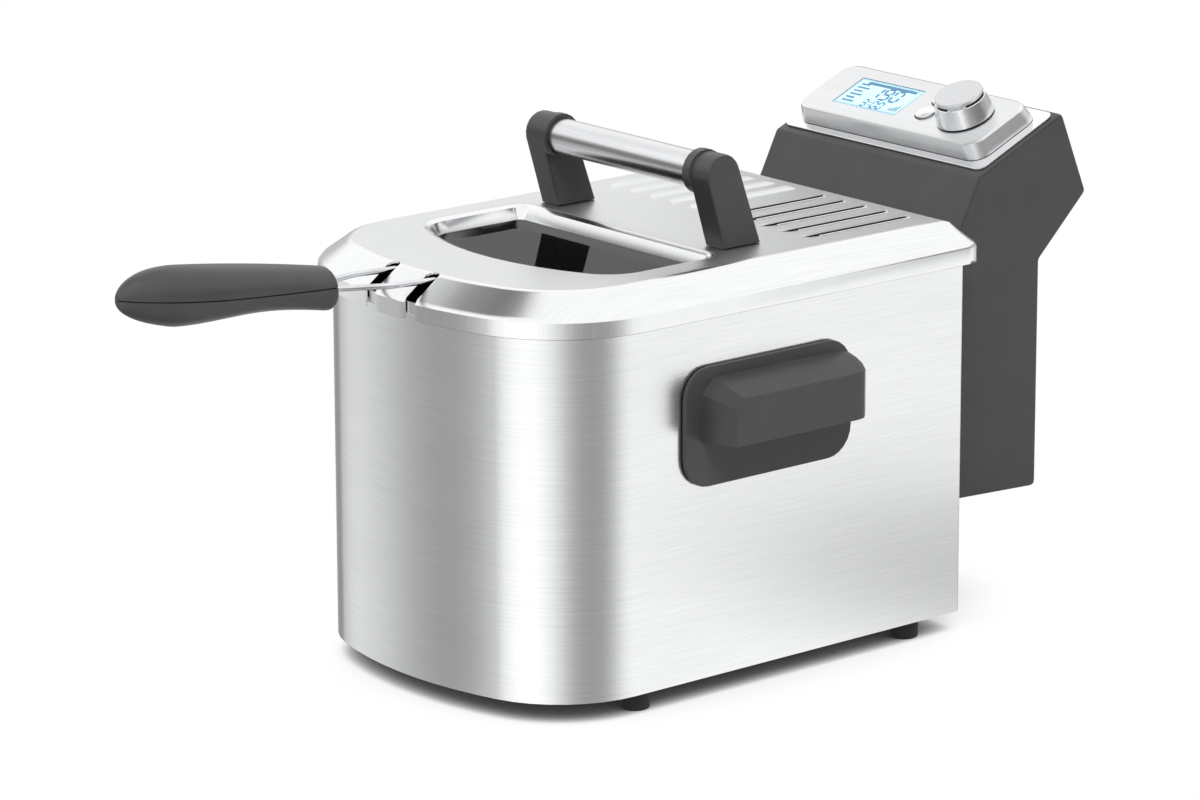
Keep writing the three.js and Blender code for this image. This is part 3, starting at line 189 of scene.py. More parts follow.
# The housing's and bowl's brush lines run level round the walls and draw their highlights into
# long soft bands. Real lines lie 0.1 mm apart; these are drawn 0.5 mm apart so that they show.
level_steel = brushed_steel("level_brushed_stainless_steel", (25, 25, 2000), (4, 4, 30))
# The lid's lines run front to back, brighter on its drawn flanks than on its level top.
lid_steel = brushed_steel(
    "lengthwise_brushed_stainless_steel", (2000, 25, 25), (30, 4, 4), roughness=0.2
)
coarser_above(lid_steel, (LID_TOP - 0.3) * MM, 0.4)
# The panel's run across it, with a satin sheen.
ACROSS = ((25, 2000, 2000), (4, 30, 30))
cross_steel = brushed_steel("crosswise_brushed_stainless_steel", *ACROSS, roughness=0.32)
# The lid's bar is brushed along its length and a shade darker.
bar_steel = brushed_steel("lengthwise_brushed_bar_steel", *ACROSS, ("#cfd0d2", "#dcddde"), 0.27)
# The dial's skirt is turned so finely that it only blurs what it mirrors.
dial_steel = brushed_steel("skirt_turned_steel", (400, 400, 400), (60, 60, 60), roughness=0.2)
# The lid's folded foot is a rougher steel. Its darker tone is painted shade: the shadow line
# between the lid and the housing.
painted_shade_edge_steel = smeared("painted_shade_folded_edge_steel", ("#77787a", "#8c8d8f"), 0.35, 1.0)
# Buffed trim mirrors the room in broad soft patches.
bright_steel = smeared("bright_polished_steel", ("#dfe0e2", "#eaebec"), 0.12, 1.0)
# Drawn wire is a little duller, with a grey cast in its die marks.
wire_steel = smeared("bright_drawn_wire", ("#c4c5c7", "#dcdddf"), 0.18, 1.0)
# The heated tube is tinted straw and dulled by hot oil.
element_steel = smeared("oil_dulled_heater_tube", ("#8d867a", "#b7b2a8"), 0.34, 1.0)
# Charcoal nylon of the head, handles and grip: a satin grain, with weak soft highlights.
charcoal = moulded(
    "charcoal_grained_nylon", ("#353536", "#3a3a3b"), 0.36, Specular_IOR_Level=0.3
)
# The base pan and filter tray are of a plainer, rougher black nylon.
inner_charcoal = moulded("charcoal_inner_nylon", ("#2b2b2d", "#303032"), 0.6)
# Rubber is nearly black and has no shine to speak of.
rubber = moulded("matt_black_rubber", ("#161617", "#1f1f20"), 0.8, 1500, 0.00006)
# Felt has a deep mottled nap.
felt = moulded("grey_filter_felt", ("#6f7173", "#a3a5a7"), 0.95, 900, 0.0004)
# Circuit boards are dark green and half glossy.
board = moulded("green_solder_mask", ("#184a30", "#1f5a3a"), 0.4, 1200)
# Tinted glass is a clean dark mirror with wiped smears, and the basket just shows through it.
smoked = smeared(
    "smoked_tempered_glass", ("#28282a", "#2f2f32"), 0.03, 0, 22, Transmission_Weight=1.0, IOR=1.12
)
# The display glows pale blue, a little unevenly, under a clear coat.
glow = {"Coat_Weight": 1.0, "Coat_Roughness": 0.05}
lcd_face = smeared("backlit_lcd_face", ("#a6d6ee", "#bde8fa"), 0.25, 0, 90, **glow)
# Its segments are a soft steel blue, and its edge a grey one.
lcd_ink = smeared("lcd_segment_ink", ("#376584", "#477794"), 0.3, 0, 300)
lcd_edge = smeared("lcd_bezel_grey_blue", ("#86adc4", "#98bfd3"), 0.4, 0, 200)

finishes = {
    "brushed_steel": level_steel,
    "polished_steel": bright_steel,
    "dark_plastic": charcoal,
    "black_rubber": rubber,
    "smoked_glass": smoked,
    "display": lcd_face,
    "circuit_board": board,
    "filter_felt": felt,
}
for name, slot in slot_of.items():
    mesh = nodes[name].data
    mesh.materials.clear()
    mesh.materials.append(finishes[slot])


# ---------------------------------------------------------------- making pieces


def smooth_group(vertex, first):
    """The faces round a vertex that join a first one across edges that aren't sharp."""
    group, found = {first}, [first]
    while found:
        face = found.pop()
        for edge in face.edges:
            if edge.smooth and vertex in edge.verts:
                new = [other for other in edge.link_faces if other not in group]
                group.update(new)
                found += new
    return group


def shaded(mesh, sharp):
    """Corner normals that keep flats flat and arcs round: each face counts by its area squared."""
    for edge in mesh.edges:
        edge.smooth = len(edge.link_faces) == 2 and edge.calc_face_angle() < math.radians(sharp)
    area = {face: face.calc_area() ** 2 for face in mesh.faces}
    normals = []
    for face in mesh.faces:
        face.smooth = True
        for corner in face.loops:
            group = smooth_group(corner.vert, face)
            normals.append(sum((area[one] * one.normal for one in group), Vector()).normalized())
    return normals


def finished(name, mesh, material, stands_for, sharp=35, replace=True):
    """A bmesh made into a smooth-shaded piece that takes the place of one or more CAD nodes."""
    bmesh.ops.recalc_face_normals(mesh, faces=mesh.faces)
    mesh.faces.index_update()
    mesh.normal_update()
    normals = shaded(mesh, sharp)
    data = bpy.data.meshes.new(name)
    mesh.to_mesh(data)
    mesh.free()
    data.normals_split_custom_set(normals)
    return placed(bpy.data.objects.new(name, data), material, stands_for, replace)


def placed(made, material, stands_for, replace=True):
    """Puts a piece in the scene with its material, on the body of the CAD nodes it stands for, and
    hides those nodes when it replaces them.
    """
    made.data.materials.append(material)
    bpy.context.scene.collection.objects.link(made)
    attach(made, body_of[stands_for[0]])
    if replace:
        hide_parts(*stands_for)
    return made


def copied(name):
    """The faces of a CAD node, with its flats joined up again."""
    mesh = bmesh.new()
    mesh.from_mesh(nodes[name].data)
    bmesh.ops.remove_doubles(mesh, verts=mesh.verts, dist=MERGE)
    flat = math.radians(0.5)
    bmesh.ops.dissolve_limit(mesh, angle_limit=flat, verts=mesh.verts, edges=mesh.edges)
    return mesh


def rounded_edges(mesh, width, segments=2, sharp=40):
    """Rounds every edge that is sharper than an angle."""
    least = math.radians(sharp)
    edges = [e for e in mesh.edges if len(e.link_faces) == 2 and e.calc_face_angle() > least]
    bmesh.ops.bevel(
        mesh, geom=edges, offset=width * MM, offset_type="OFFSET", segments=segments,
        profile=0.5, affect="EDGES", clamp_overlap=True, material=-1,
    )
    bmesh.ops.remove_doubles(mesh, verts=mesh.verts, dist=MERGE)


def refined(name, material, width, segments=2, sharp=40):
    """A CAD node with soft edges and clean shading."""
    mesh = copied(name)
    if width:
        rounded_edges(mesh, width, segments, sharp)
    return finished("fine_" + name, mesh, material, [name])


def spun(profile, matrix, segments=64):
    """A closed turned solid about Z from [radius, height] points in millimetres."""
    mesh = bmesh.new()
    points = [mesh.verts.new((radius * MM, 0, z * MM)) for radius, z in profile]
    edges = [mesh.edges.new(pair) for pair in zip(points, points[1:])]
    bmesh.ops.spin(
        mesh, geom=points + edges, cent=(0, 0, 0), axis=(0, 0, 1),
        angle=2 * math.pi, steps=segments, use_merge=True,
    )
    bmesh.ops.remove_doubles(mesh, verts=mesh.verts, dist=MERGE / 2)
    mesh.transform(matrix)
    return mesh


def arc(x, y, radius, start, end, steps):
    """Points along an arc, in degrees."""
    angles = [math.radians(start + (end - start) * i / steps) for i in range(steps + 1)]
    return [(x + radius * math.cos(angle), y + radius * math.sin(angle)) for angle in angles]


def bent(corners, bend, steps=8):
    """A path with its corners rounded."""
    path = [corners[0]]
    for before, corner, after in zip(corners, corners[1:], corners[2:]):
        back, on = before - corner, after - corner
        reach = min(bend * MM / math.tan(back.angle(on) / 2), back.length / 2.01, on.length / 2.01)
        start, end = corner + back.normalized() * reach, corner + on.normalized() * reach
        for i in range(steps + 1):
            t = i / steps
            path.append(start * (1 - t) ** 2 + corner * 2 * t * (1 - t) + end * t * t)
    return path + [corners[-1]]


def wires(name, paths, radius, material, stands_for, closed=False, resolution=4, replace=True):
    """Round wires along paths, as one piece."""
    curve = bpy.data.curves.new(name, "CURVE")
    curve.dimensions = "3D"
    curve.bevel_depth = radius * MM
    curve.bevel_resolution = resolution
    curve.use_fill_caps = True
    for path in paths:
        spline = curve.splines.new("POLY")
        spline.points.add(len(path) - 1)
        for point, place in zip(spline.points, path):
            point.co = (*place, 1)
        spline.use_cyclic_u = closed
    return placed(bpy.data.objects.new(name, curve), material, stands_for, replace)


# ---------------------------------------------------------------- housing and bowl

refined("outer_shell", level_steel, 0.5, 3)
refined("oil_bowl", level_steel, 0.4)
refined("base_pan", inner_charcoal, 0.6)
for hand in ("left", "right"):
    refined(f"side_handle_{hand}", charcoal, 1.3, 3, 24)
    refined(f"guide_rail_{hand}", charcoal, 0.4)


def upright(name, profile_for, material, segments):
    """A turned solid in place of a CAD node, from its profile for the node's height in mm."""
    low, high = (Vector(corner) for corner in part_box(name))
    middle = (low + high) / 2
    foot_of_it = Matrix.Translation((middle.x, middle.y, low.z))
    profile = profile_for((high.z - low.z) / MM)
    finished("fine_" + name, spun(profile, foot_of_it, segments), material, [name])


def foot(top):
    """A rubber foot with a chamfered tread and a bead round its collar."""
    tread = [(0, 0.5), (4.8, 0.5), (5, 0), *arc(7, 1, 1, -90, 0, 4), (8, top - 2.6)]
    return [*tread, *arc(8, top - 1.8, 0.8, -90, 60, 6), (8.2, top), (0, top)]


for end in ("front", "rear"):
    for hand in ("left", "right"):
        upright(f"foot_{end}_{hand}", foot, rubber, 48)


# ---------------------------------------------------------------- control head

refined("head_housing", charcoal, 0.5)
refined("head_back_cover", charcoal, 0.5)
refined("power_inlet", rubber, 0.5)
refined("inlet_contacts", bright_steel, 0.5)
refined("reset_button", rubber, 0.6)
refined("control_board", board, 0.3)
refined("display_board", board, 0.2)
refined("panel_flange", bright_steel, 0.35)
refined("panel_fascia", cross_steel, 0.3)
refined("element_bridge", lid_steel, 0.4)
refined("element_plate", level_steel, 0.3)
refined("element_strap", level_steel, 0.3)

PANEL_TILT = math.radians(23.2)
PANEL_FRONT = (36.2, 251.3)  # where the head's sloping top starts: back and up
FASCIA_TOP = 12.0  # above the head's sloping top, square to it
panel = Matrix.Translation(at(0, *PANEL_FRONT)) @ Matrix.Rotation(PANEL_TILT, 4, "X")


def on_panel(x, along):
    """A place on the head's sloping top: right of its middle and up its slope."""
    return panel @ Matrix.Translation((x * MM, along * MM, 0))


DIAL = (45.8, 34.2)
DIAL_HEIGHT = 14.8
# The dial's cap shows the rings of the cutter that faced it.
turned_steel = spun_steel(
    "face_turned_steel", on_panel(*DIAL).translation, PANEL_TILT, ("#c4c5c7", "#dadbdc"), 0.26
)
DIAL_BASE = FASCIA_TOP + 0.7
DIAL_TOP = DIAL_BASE + DIAL_HEIGHT
GROOVE = (DIAL_TOP - 3.5, DIAL_TOP - 2.3)
POINTER = -52  # degrees from the panel's right, where the dial points


def dial():
    """A tapered skirt, a groove with a black band of painted shade and a bright pointer tab in it,
    and a cap.
    """
    core = 12.9  # the groove's own radius

    def side(z):
        return 17.1 - 3.0 * (z - DIAL_BASE) / DIAL_HEIGHT

    skirt = [
        (0, DIAL_BASE + 6.6), (14.4, DIAL_BASE + 6.6), (14.5, DIAL_BASE + 6.4), (14.5, DIAL_BASE),
        (16.8, DIAL_BASE), (17.1, DIAL_BASE + 0.3), (side(GROOVE[0] - 0.3), GROOVE[0] - 0.3),
        (side(GROOVE[0]) - 0.3, GROOVE[0]), (core, GROOVE[0]), (core, GROOVE[1] - 0.3),
        (0, GROOVE[1] - 0.3),
    ]
    cap = [(0, GROOVE[1]), (13.7, GROOVE[1]), *arc(13.7, GROOVE[1] + 0.4, 0.4, -90, 0, 3)]
    cap += [*arc(13.3, DIAL_TOP - 0.8, 0.8, 0, 90, 5), (12.6, DIAL_TOP - 0.15)]
    cap.append((0, DIAL_TOP - 0.15))
    low, high = GROOVE[0] - 0.1, GROOVE[1] + 0.1
    band = [(core, low), (core + 0.7, low), (core + 0.7, high), (core, high), (core, low)]
    centre = on_panel(*DIAL)
    finished("fine_dial_knob", spun(skirt, centre, 96), dial_steel, ["dial_knob"])
    # A black ring in the groove, in the rubber finish: painted shade standing in for the groove's
    # own shadow.
    finished("dial_groove_shade_ring", spun(band, centre, 96), rubber, ["dial_knob"])
    tab = bmesh.new()
    bmesh.ops.create_cube(tab, size=1)
    block = Matrix.Diagonal((2.2, 11, 1.5, 1))
    outward = Matrix.Translation((13.25, 0, sum(GROOVE) / 2))
    turned = Matrix.Rotation(math.radians(POINTER), 4, "Z")
    tab.transform(centre @ Matrix.Scale(MM, 4) @ turned @ outward @ block)
    rounded_edges(tab, 0.2)
    finished("dial_pointer_tab", tab, turned_steel, ["dial_knob"])
    finished("fine_dial_cap", spun(cap, centre, 96), turned_steel, ["dial_cap"])


def buttons():
    """Round caps with a rolled edge and a shallow dish."""
    bottom, top = FASCIA_TOP - 2.7, FASCIA_TOP + 1.7
    radius, roll = 6.1, 0.9
    profile = [(0, bottom), (radius, bottom), (radius, top - roll)]
    profile += arc(radius - roll, top - roll, roll, 0, 90, 6)
    profile += [(4.6, top - 0.12), (2.4, top - 0.38), (0, top - 0.45)]
    for end, along in (("front", 29), ("rear", 43.5)):
        name = f"select_button_{end}"
        finished("fine_" + name, spun(profile, on_panel(18, along), 64), bright_steel, [name])


dial()
buttons()

# The strokes of a seven-segment figure: middle, length and whether it stands upright.
STROKES = {
    "a": (0, 1, 0), "b": (0.5, 0.5, 1), "c": (0.5, -0.5, 1), "d": (0, -1, 0),
    "e": (-0.5, -0.5, 1), "f": (-0.5, 0.5, 1), "g": (0, 0, 0),
}
FIGURES = {"0": "abcdef", "1": "bc", "3": "abcdg", "9": "abcdfg"}
DISPLAY = (-52.5, 0, 21.3, 47.6)  # left, right, front and rear of the glass along the panel
INK = 0.06  # how thick the lit face and the segments are


def display():
    """A backlit glass in a thin edge, with plain figures and bars as raised ink."""
    left, right, front, rear = DISPLAY
    glass_top = FASCIA_TOP - 0.1
    lit_top, ink_top = glass_top + 0.04, glass_top + 0.1
    middle = (left + right) / 2
    face = copied("display_lens")
    rounded_edges(face, 0.25)
    finished("fine_display_lens", face, lcd_edge, ["display_lens"])

    def slab(mesh, x, y, width, length, top):
        corners = bmesh.ops.create_cube(mesh, size=1)["verts"]
        scale = Matrix.Diagonal((width, length, INK, 1))
        place = Matrix.Translation((x, y, top - INK / 2))
        bmesh.ops.transform(mesh, matrix=Matrix.Scale(MM, 4) @ place @ scale, verts=corners)

    lit = bmesh.new()
    slab(lit, middle, (front + rear) / 2, right - left - 3, rear - front - 3, lit_top)
    lit.transform(panel)
    finished("lcd_face", lit, lcd_face, ["display_lens"])

    ink = bmesh.new()

    def figure(text, x, y, height, weight):
        half = height / 2
        for step, character in enumerate(text):
            centre = x + step * height * 0.78
            for stroke in FIGURES[character]:
                across, up, stands = STROKES[stroke]
                size = (half - weight * 0.4, weight)
                if stands:
                    size = (weight, half - weight)
                slab(ink, centre + across * half * 1.05, y + up * half, *size, ink_top)

    large_x, large_y, small_y = -30.5, 37.2, 26.4
    figure("190", large_x, large_y, 10.6, 1.7)
    figure("3", large_x, small_y, 6.4, 1.2)
    figure("00", -22.6, small_y, 6.4, 1.2)
    for dot in (-1, 1):
        slab(ink, -26.4, small_y + dot * 1.4, 0.9, 0.9, ink_top)
    slab(ink, middle + 2, rear - 3.2, right - left - 12, 2.6, ink_top)
    for row in range(6):
        width = 9.5 - 2.5 * (row % 2)
        slab(ink, left + 4 + width / 2, front + 4 + row * 3.4, width, 1.5, ink_top)
    for bar in range(4):
        slab(ink, right - 9 + bar * 1.8, front + 4 + bar * 0.6, 1.1, 2 + bar * 1.2, ink_top)
    ink.transform(panel)
    finished("lcd_figures", ink, lcd_ink, ["display_lens"])


display()


TUBE_RADIUS = 3.55
LEGS_Y = -22.1  # the heater's legs behind the bowl's rear wall
LEGS_TOP, LOOP_Z = 209.4, 68.1


def element():
    """The heater tube: two legs down from the bridge and one long loop over the bowl's floor."""
    half = [
        (-38, LEGS_Y, LEGS_TOP), (-38, LEGS_Y, LOOP_Z), (-38, LEGS_Y - 16, LOOP_Z),
        (-66, LEGS_Y - 44, LOOP_Z), (-66, -236, LOOP_Z), (-22, -236, LOOP_Z),
        (-22, LEGS_Y - 58, LOOP_Z),
    ]
    corners = [at(*point) for point in half + [(-x, y, z) for x, y, z in reversed(half)]]
    return bent(corners, 20, 10)


wires(
    "fine_heating_element", [element()], TUBE_RADIUS, element_steel, ["heating_element"],
    resolution=6,
)

PROBE_RADIUS = 2.5


def probe(length):
    """A rod with round ends."""
    lower = arc(0, PROBE_RADIUS, PROBE_RADIUS, -90, 0, 6)
    return lower + arc(0, length - PROBE_RADIUS, PROBE_RADIUS, 0, 90, 6)


upright("temperature_probe", probe, wire_steel, 24)
upright("limit_probe", probe, wire_steel, 24)


# ---------------------------------------------------------------- basket

BASKET = {"half": 84, "front": -274, "rear": -42, "corner": 14}
BASKET_BOTTOM, BASKET_TOP = (corner[2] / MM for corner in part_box("basket_frame"))
FRAME_RADIUS = 1.6
POST_RADIUS = 1.4


def hoop(z):
    """A ring round the basket, with round corners."""
    x, front, rear, corner = BASKET.values()
    right, left = x - corner, corner - x
    near, far = front + corner, rear - corner
    outline = []
    for turn, centre in enumerate([(right, near), (right, far), (left, far), (left, near)]):
        outline += arc(*centre, corner, turn * 90 - 90, turn * 90, 8)
    return [at(px, py, z) for px, py in outline]


hoops = [hoop(BASKET_BOTTOM + FRAME_RADIUS), hoop(BASKET_TOP - FRAME_RADIUS)]
wires("fine_basket_frame", hoops, FRAME_RADIUS, wire_steel, ["basket_frame"], closed=True)


def uprights():
    """The basket's four corner posts."""
    inset = BASKET["corner"] * (1 - math.sqrt(0.5))
    for x in (inset - BASKET["half"], BASKET["half"] - inset):
        for y in (BASKET["front"] + inset, BASKET["rear"] - inset):
            yield [at(x, y, z) for z in (BASKET_BOTTOM + 1, BASKET_TOP - 1)]


wires("basket_uprights", list(uprights()), POST_RADIUS, wire_steel, ["basket_frame"])

WEAVE = 5.2  # pitch of the woven wires
STRAND = 0.42  # their radius


def woven(name, across, along, facing):
    """A panel of wires that pass over and under each other, across and along two of the axes."""
    low, high = (Vector(corner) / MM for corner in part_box(name))
    middle = (low + high) / 2
    spans = [high[across] - low[across], high[along] - low[along]]
    counts = [round(span / WEAVE) for span in spans]
    steps = [span / count for span, count in zip(spans, counts)]
    axes = (across, along)
    paths = []
    for first, second in ((0, 1), (1, 0)):
        for strand in range(counts[first] + 1):
            path = []
            for half_step in range(2 * counts[second] + 1):
                point = [0.0, 0.0, 0.0]
                point[axes[first]] = low[axes[first]] + strand * steps[first]
                point[axes[second]] = low[axes[second]] + half_step * steps[second] / 2
                over = math.cos(math.pi * (strand + half_step / 2 + first))
                point[facing] = middle[facing] + STRAND * 0.9 * over
                path.append(Vector(point) * MM)
            paths.append(path)
    wires("woven_" + name, paths, STRAND, wire_steel, [name], resolution=0)


woven("basket_front_mesh", 0, 2, 1)
woven("basket_rear_mesh", 0, 2, 1)
woven("basket_left_mesh", 1, 2, 0)
woven("basket_right_mesh", 1, 2, 0)
woven("basket_floor_mesh", 0, 1, 2)

SHELL_BOTTOM = 11.1
WIRE_RADIUS = 1.6
NOTCH_X, NOTCH_Y, NOTCH_Z = 16.9, -294.8, SHELL_BOTTOM + 221
GRIP_Y, GRIP_Z = -355.4, SHELL_BOTTOM + 223.8
CROSSBAR_Y = -285
WIRE_INNER_Z = NOTCH_Z - 3.2


def bracket():
    """The wire arch on the basket's front rim that the handle hooks under."""
    half, foot_y = NOTCH_X + 5, BASKET["front"] - 2 * FRAME_RADIUS - 0.3
    crossbar_z = WIRE_INNER_Z - 2 * WIRE_RADIUS - 0.3
    rim = BASKET_TOP - FRAME_RADIUS
    side = [(half, foot_y, rim - 14), (half, foot_y, rim + 6), (half, CROSSBAR_Y, crossbar_z)]
    corners = [(-x, y, z) for x, y, z in side] + side[::-1]
    return bent([at(*corner) for corner in corners], 5, 6)


wires("fine_basket_bracket", [bracket()], FRAME_RADIUS, wire_steel, ["basket_bracket"])


def handle_wire(side):
    """One of the handle's two wires, from the bracket through its notch into the grip."""
    x, in_grip = side * NOTCH_X, side * 7.4
    corners = [
        (x, CROSSBAR_Y + 2 * WIRE_RADIUS, WIRE_INNER_Z),
        (x, CROSSBAR_Y - 2 * WIRE_RADIUS, WIRE_INNER_Z),
        (x, NOTCH_Y, NOTCH_Z),
        (x, (NOTCH_Y + GRIP_Y) / 2, (NOTCH_Z + GRIP_Z) / 2),
        (in_grip, GRIP_Y, GRIP_Z),
        (in_grip, GRIP_Y - 45, GRIP_Z + 5),
    ]
    return bent([at(*corner) for corner in corners], 30, 8)


for hand, side in (("left", -1), ("right", 1)):
    name = f"handle_wire_{hand}"
    wires("fine_" + name, [handle_wire(side)], WIRE_RADIUS, wire_steel, [name], resolution=6)

GRIP_LENGTH, GRIP_DEPTH = 135.1, 23.9
GRIP_TIP = 13.4  # how far its tip lies above its inner end
GRIP_SHOULDER = 3.5  # how far its inner end is rounded
GROOVE_HALF, GROOVE_DEPTH = 0.42, 1.3  # the parting groove's half width and depth


def closing(t, start):
    """How far a section is still open, as it rounds off from a place along the grip to its end."""
    return 1 if t < start else math.sqrt(max(1 - ((t - start) / (1 - start)) ** 2, 0.0005))


def grip_section(t, inset):
    """The grip's outline, grooved, at a share of its length from its inner end."""
    top = GRIP_DEPTH * (0.456 + 1.13 * t - 0.289 * t * t)
    arch = 0.213 * math.sin(math.pi * min(t / 0.75, 1))
    bottom = GRIP_DEPTH * (0.226 * t - 0.544 + arch)
    seam = GRIP_DEPTH * (0.059 + 0.427 * t + 0.1 * t**3)
    top = GRIP_TIP + (top - GRIP_TIP) * closing(t, 0.71) - inset
    bottom = GRIP_TIP + (bottom - GRIP_TIP) * closing(t, 0.44) + inset
    wide = (13.4 + 3.2 * math.sin(math.pi * (t - 0.15))) * closing(t, 0.5) - inset
    middle, half = (top + bottom) / 2, (top - bottom) / 2
    up = max(-0.8, min(0.8, (seam - middle) / half))
    part = math.degrees(math.asin(up))
    groove = math.degrees(GROOVE_HALF / max(half, 1))
    inward = 1 - GROOVE_DEPTH / max(wide, 2.5)
    out = inward * math.sqrt(1 - up * up)
    upper = arc(0, 0, 1, part + groove, 180 - part - groove, 20)
    lower = arc(0, 0, 1, 180 - part + groove, 360 + part - groove, 20)
    outline = [*upper, (-out, inward * up), *lower, (out, inward * up)]
    y, z = GRIP_Y - GRIP_LENGTH * t, GRIP_Z + middle
    return [at(wide * x, y, z + half * height) for x, height in outline]


def grip():
    """The arched grip in two shells, with a fine parting groove all round."""
    shoulder = GRIP_SHOULDER / GRIP_LENGTH
    count = 44
    rings = [
        grip_section(shoulder * (1 - math.cos(turn)), GRIP_SHOULDER * (1 - math.sin(turn)))
        for turn in (0, 0.4, 0.8, 1.2)
    ]
    for i in range(count + 1):
        along = math.sin(i / count * math.pi / 2)
        rings.append(grip_section(shoulder + (1 - shoulder) * along, 0))
    mesh = bmesh.new()
    loops = []
    for outline in rings:
        points = [mesh.verts.new(point) for point in outline]
        loops.append([mesh.edges.new(pair) for pair in zip(points, points[1:] + points[:1])])
    for one, other in zip(loops, loops[1:]):
        bmesh.ops.bridge_loops(mesh, edges=one + other)
    bmesh.ops.holes_fill(mesh, edges=loops[0] + loops[-1], sides=0)
    finished("fine_grip", mesh, charcoal, ["grip_upper", "grip_lower"], 50)


grip()


# ---------------------------------------------------------------- lid

refined("lid_shell", lid_steel, 0.3, 2, 50)
refined("lid_curb_left", lid_steel, 0.3)
refined("lid_curb_right", lid_steel, 0.3)
refined("lid_window", smoked, 0.3)
refined("window_seal", rubber, 0.2)
refined("filter_tray", inner_charcoal, 0.3)
refined("vent_filter", felt, 0.3)
refined("lid_post_left", charcoal, 0.6, 2, 30)
refined("lid_post_right", charcoal, 0.6, 2, 30)


def handle_bar():
    """A tube between the lid's posts."""
    half, y, z = 67.3, -147.2, LID_TOP + 41.2
    outside, inside = 10, 8.5
    profile = [(inside, -half), (outside, -half), (outside, half), (inside, half)]
    turn = Matrix.Translation(at(0, y, z)) @ Matrix.Rotation(math.pi / 2, 4, "Y")
    tube = spun([*profile, profile[0]], turn, 72)
    finished("fine_lid_handle_bar", tube, bar_steel, ["lid_handle_bar"])


handle_bar()

# The lid's plan: half its width, its nose and rear, the radii of the nose's bow and of the
# corners, and the height of its foot.
RIM = {"half": 118.75, "nose": -315, "bow": 236, "corner": 70.5}
RIM |= {"rear": 12, "rear_corner": 15, "bottom": 213.4}
NOTCH_HALF = 4.6  # half the width of a wire's notch


def rim_outline(inset):
    """The D-shaped outline of the lid's foot, from the middle of the nose round the right."""
    side, bow, corner = (RIM[key] - inset for key in ("half", "bow", "corner"))
    bow_y = RIM["nose"] + inset + bow
    corner_x = side - corner
    drop = math.sqrt((bow - corner) ** 2 - corner_x**2)
    tangent = math.degrees(math.atan2(drop, corner_x))
    turn = RIM["rear_corner"] - inset
    nose = arc(0, bow_y, bow, -90, -tangent, 24)
    front_corner = arc(corner_x, bow_y - drop, corner, -tangent, 0, 20)
    return nose + front_corner + arc(side - turn, RIM["rear"] - inset - turn, turn, 0, 90, 8)


def rim_roll():
    """The folded lower edge of the rim, cut where the notches are."""
    radius = 1.0
    right = rim_outline(radius + 0.25)
    clear = [(x, y) for x, y in right if x > NOTCH_X + NOTCH_HALF]
    round_ = clear + [(-x, y) for x, y in reversed(clear)]
    tongue = [(x, y) for x, y in right if x < NOTCH_X - NOTCH_HALF]
    middle = [(-x, y) for x, y in reversed(tongue)] + tongue[1:]
    foot_z = RIM["bottom"] + radius / 2
    paths = [[at(x, y, foot_z) for x, y in path] for path in (round_, middle)]
    # The roll's steel is darkened with painted shade, for the shadow line under the lid.
    wires("lid_rim_roll", paths, radius, painted_shade_edge_steel, ["lid_shell"], replace=False)


rim_roll()


LIP_HALF = 24  # half the width of the bowl's front lip, between the lid's curbs


def front_lip():
    """The bowl's raised front lip, which closes the lid's notches below the wires."""
    floor_z, top_z = 215.3, 222.6
    mesh = bmesh.new()
    rows = []
    for inset, z in ((10, floor_z), (2.6, floor_z), (1.8, floor_z + 0.8), (1.8, top_z)):
        right = [(x, y) for x, y in rim_outline(inset) if x < LIP_HALF]
        path = [(-x, y) for x, y in reversed(right[1:])] + right
        points = [mesh.verts.new(at(x, y, z)) for x, y in path]
        rows.append([mesh.edges.new(pair) for pair in zip(points, points[1:])])
    for one, other in zip(rows, rows[1:]):
        bmesh.ops.bridge_loops(mesh, edges=one + other)
    bmesh.ops.solidify(mesh, geom=mesh.faces[:], thickness=0.6 * MM)
    finished("bowl_front_lip", mesh, level_steel, ["oil_bowl"], replace=False)


front_lip()

# Each vent's hood: its ends, its height, and its edges from the slot's middle line.
LOUVRE = {"front": -93.0, "rear": -15.6, "height": 1.8, "inner": -3.6, "outer": 2.7}
LOUVRE_ENDS = (15.0, 4.5)  # how far its front and rear ends take to rise
VENTS = [82 - 17.25 * place for place in range(5)]  # the slots' middle lines, out from the middle


def louvre(mesh, x, side):
    """A pressed hood over a vent slot: fixed along its inner edge, open along its outer one."""
    front, rear, inner, outer = (LOUVRE[key] for key in ("front", "rear", "inner", "outer"))
    sheet = bmesh.ops.create_grid(mesh, x_segments=8, y_segments=48, size=0.5)["verts"]
    for point in sheet:
        along, across = point.co.y + 0.5, point.co.x + 0.5
        y = front + (rear - front) * (0.5 - 0.5 * math.cos(math.pi * along))
        near = min((y - front) / LOUVRE_ENDS[0], (rear - y) / LOUVRE_ENDS[1], 1)
        rise = math.sqrt(max(1 - (1 - near) ** 2, 0))
        out = inner + (outer - inner) * (0.35 + 0.65 * rise) * across
        z = LID_TOP + LOUVRE["height"] * rise * math.sin(across * math.pi / 2)
        point.co = at(x + side * out, y, z)
    if side < 0:
        faces = list({face for point in sheet for face in point.link_faces})
        bmesh.ops.reverse_faces(mesh, faces=faces)


def slot_lip(x, side):
    """The turned-over edge of a vent slot, along its open side and round its rear end."""
    edge = side * (LOUVRE["outer"] + 0.35)
    front, rear = LOUVRE["front"] + 9, LOUVRE["rear"] + 0.6
    corners = [(x + edge, front), (x + edge, rear), (x - edge / 2, rear)]
    return bent([at(px, py, LID_TOP) for px, py in corners], 2.2, 5)


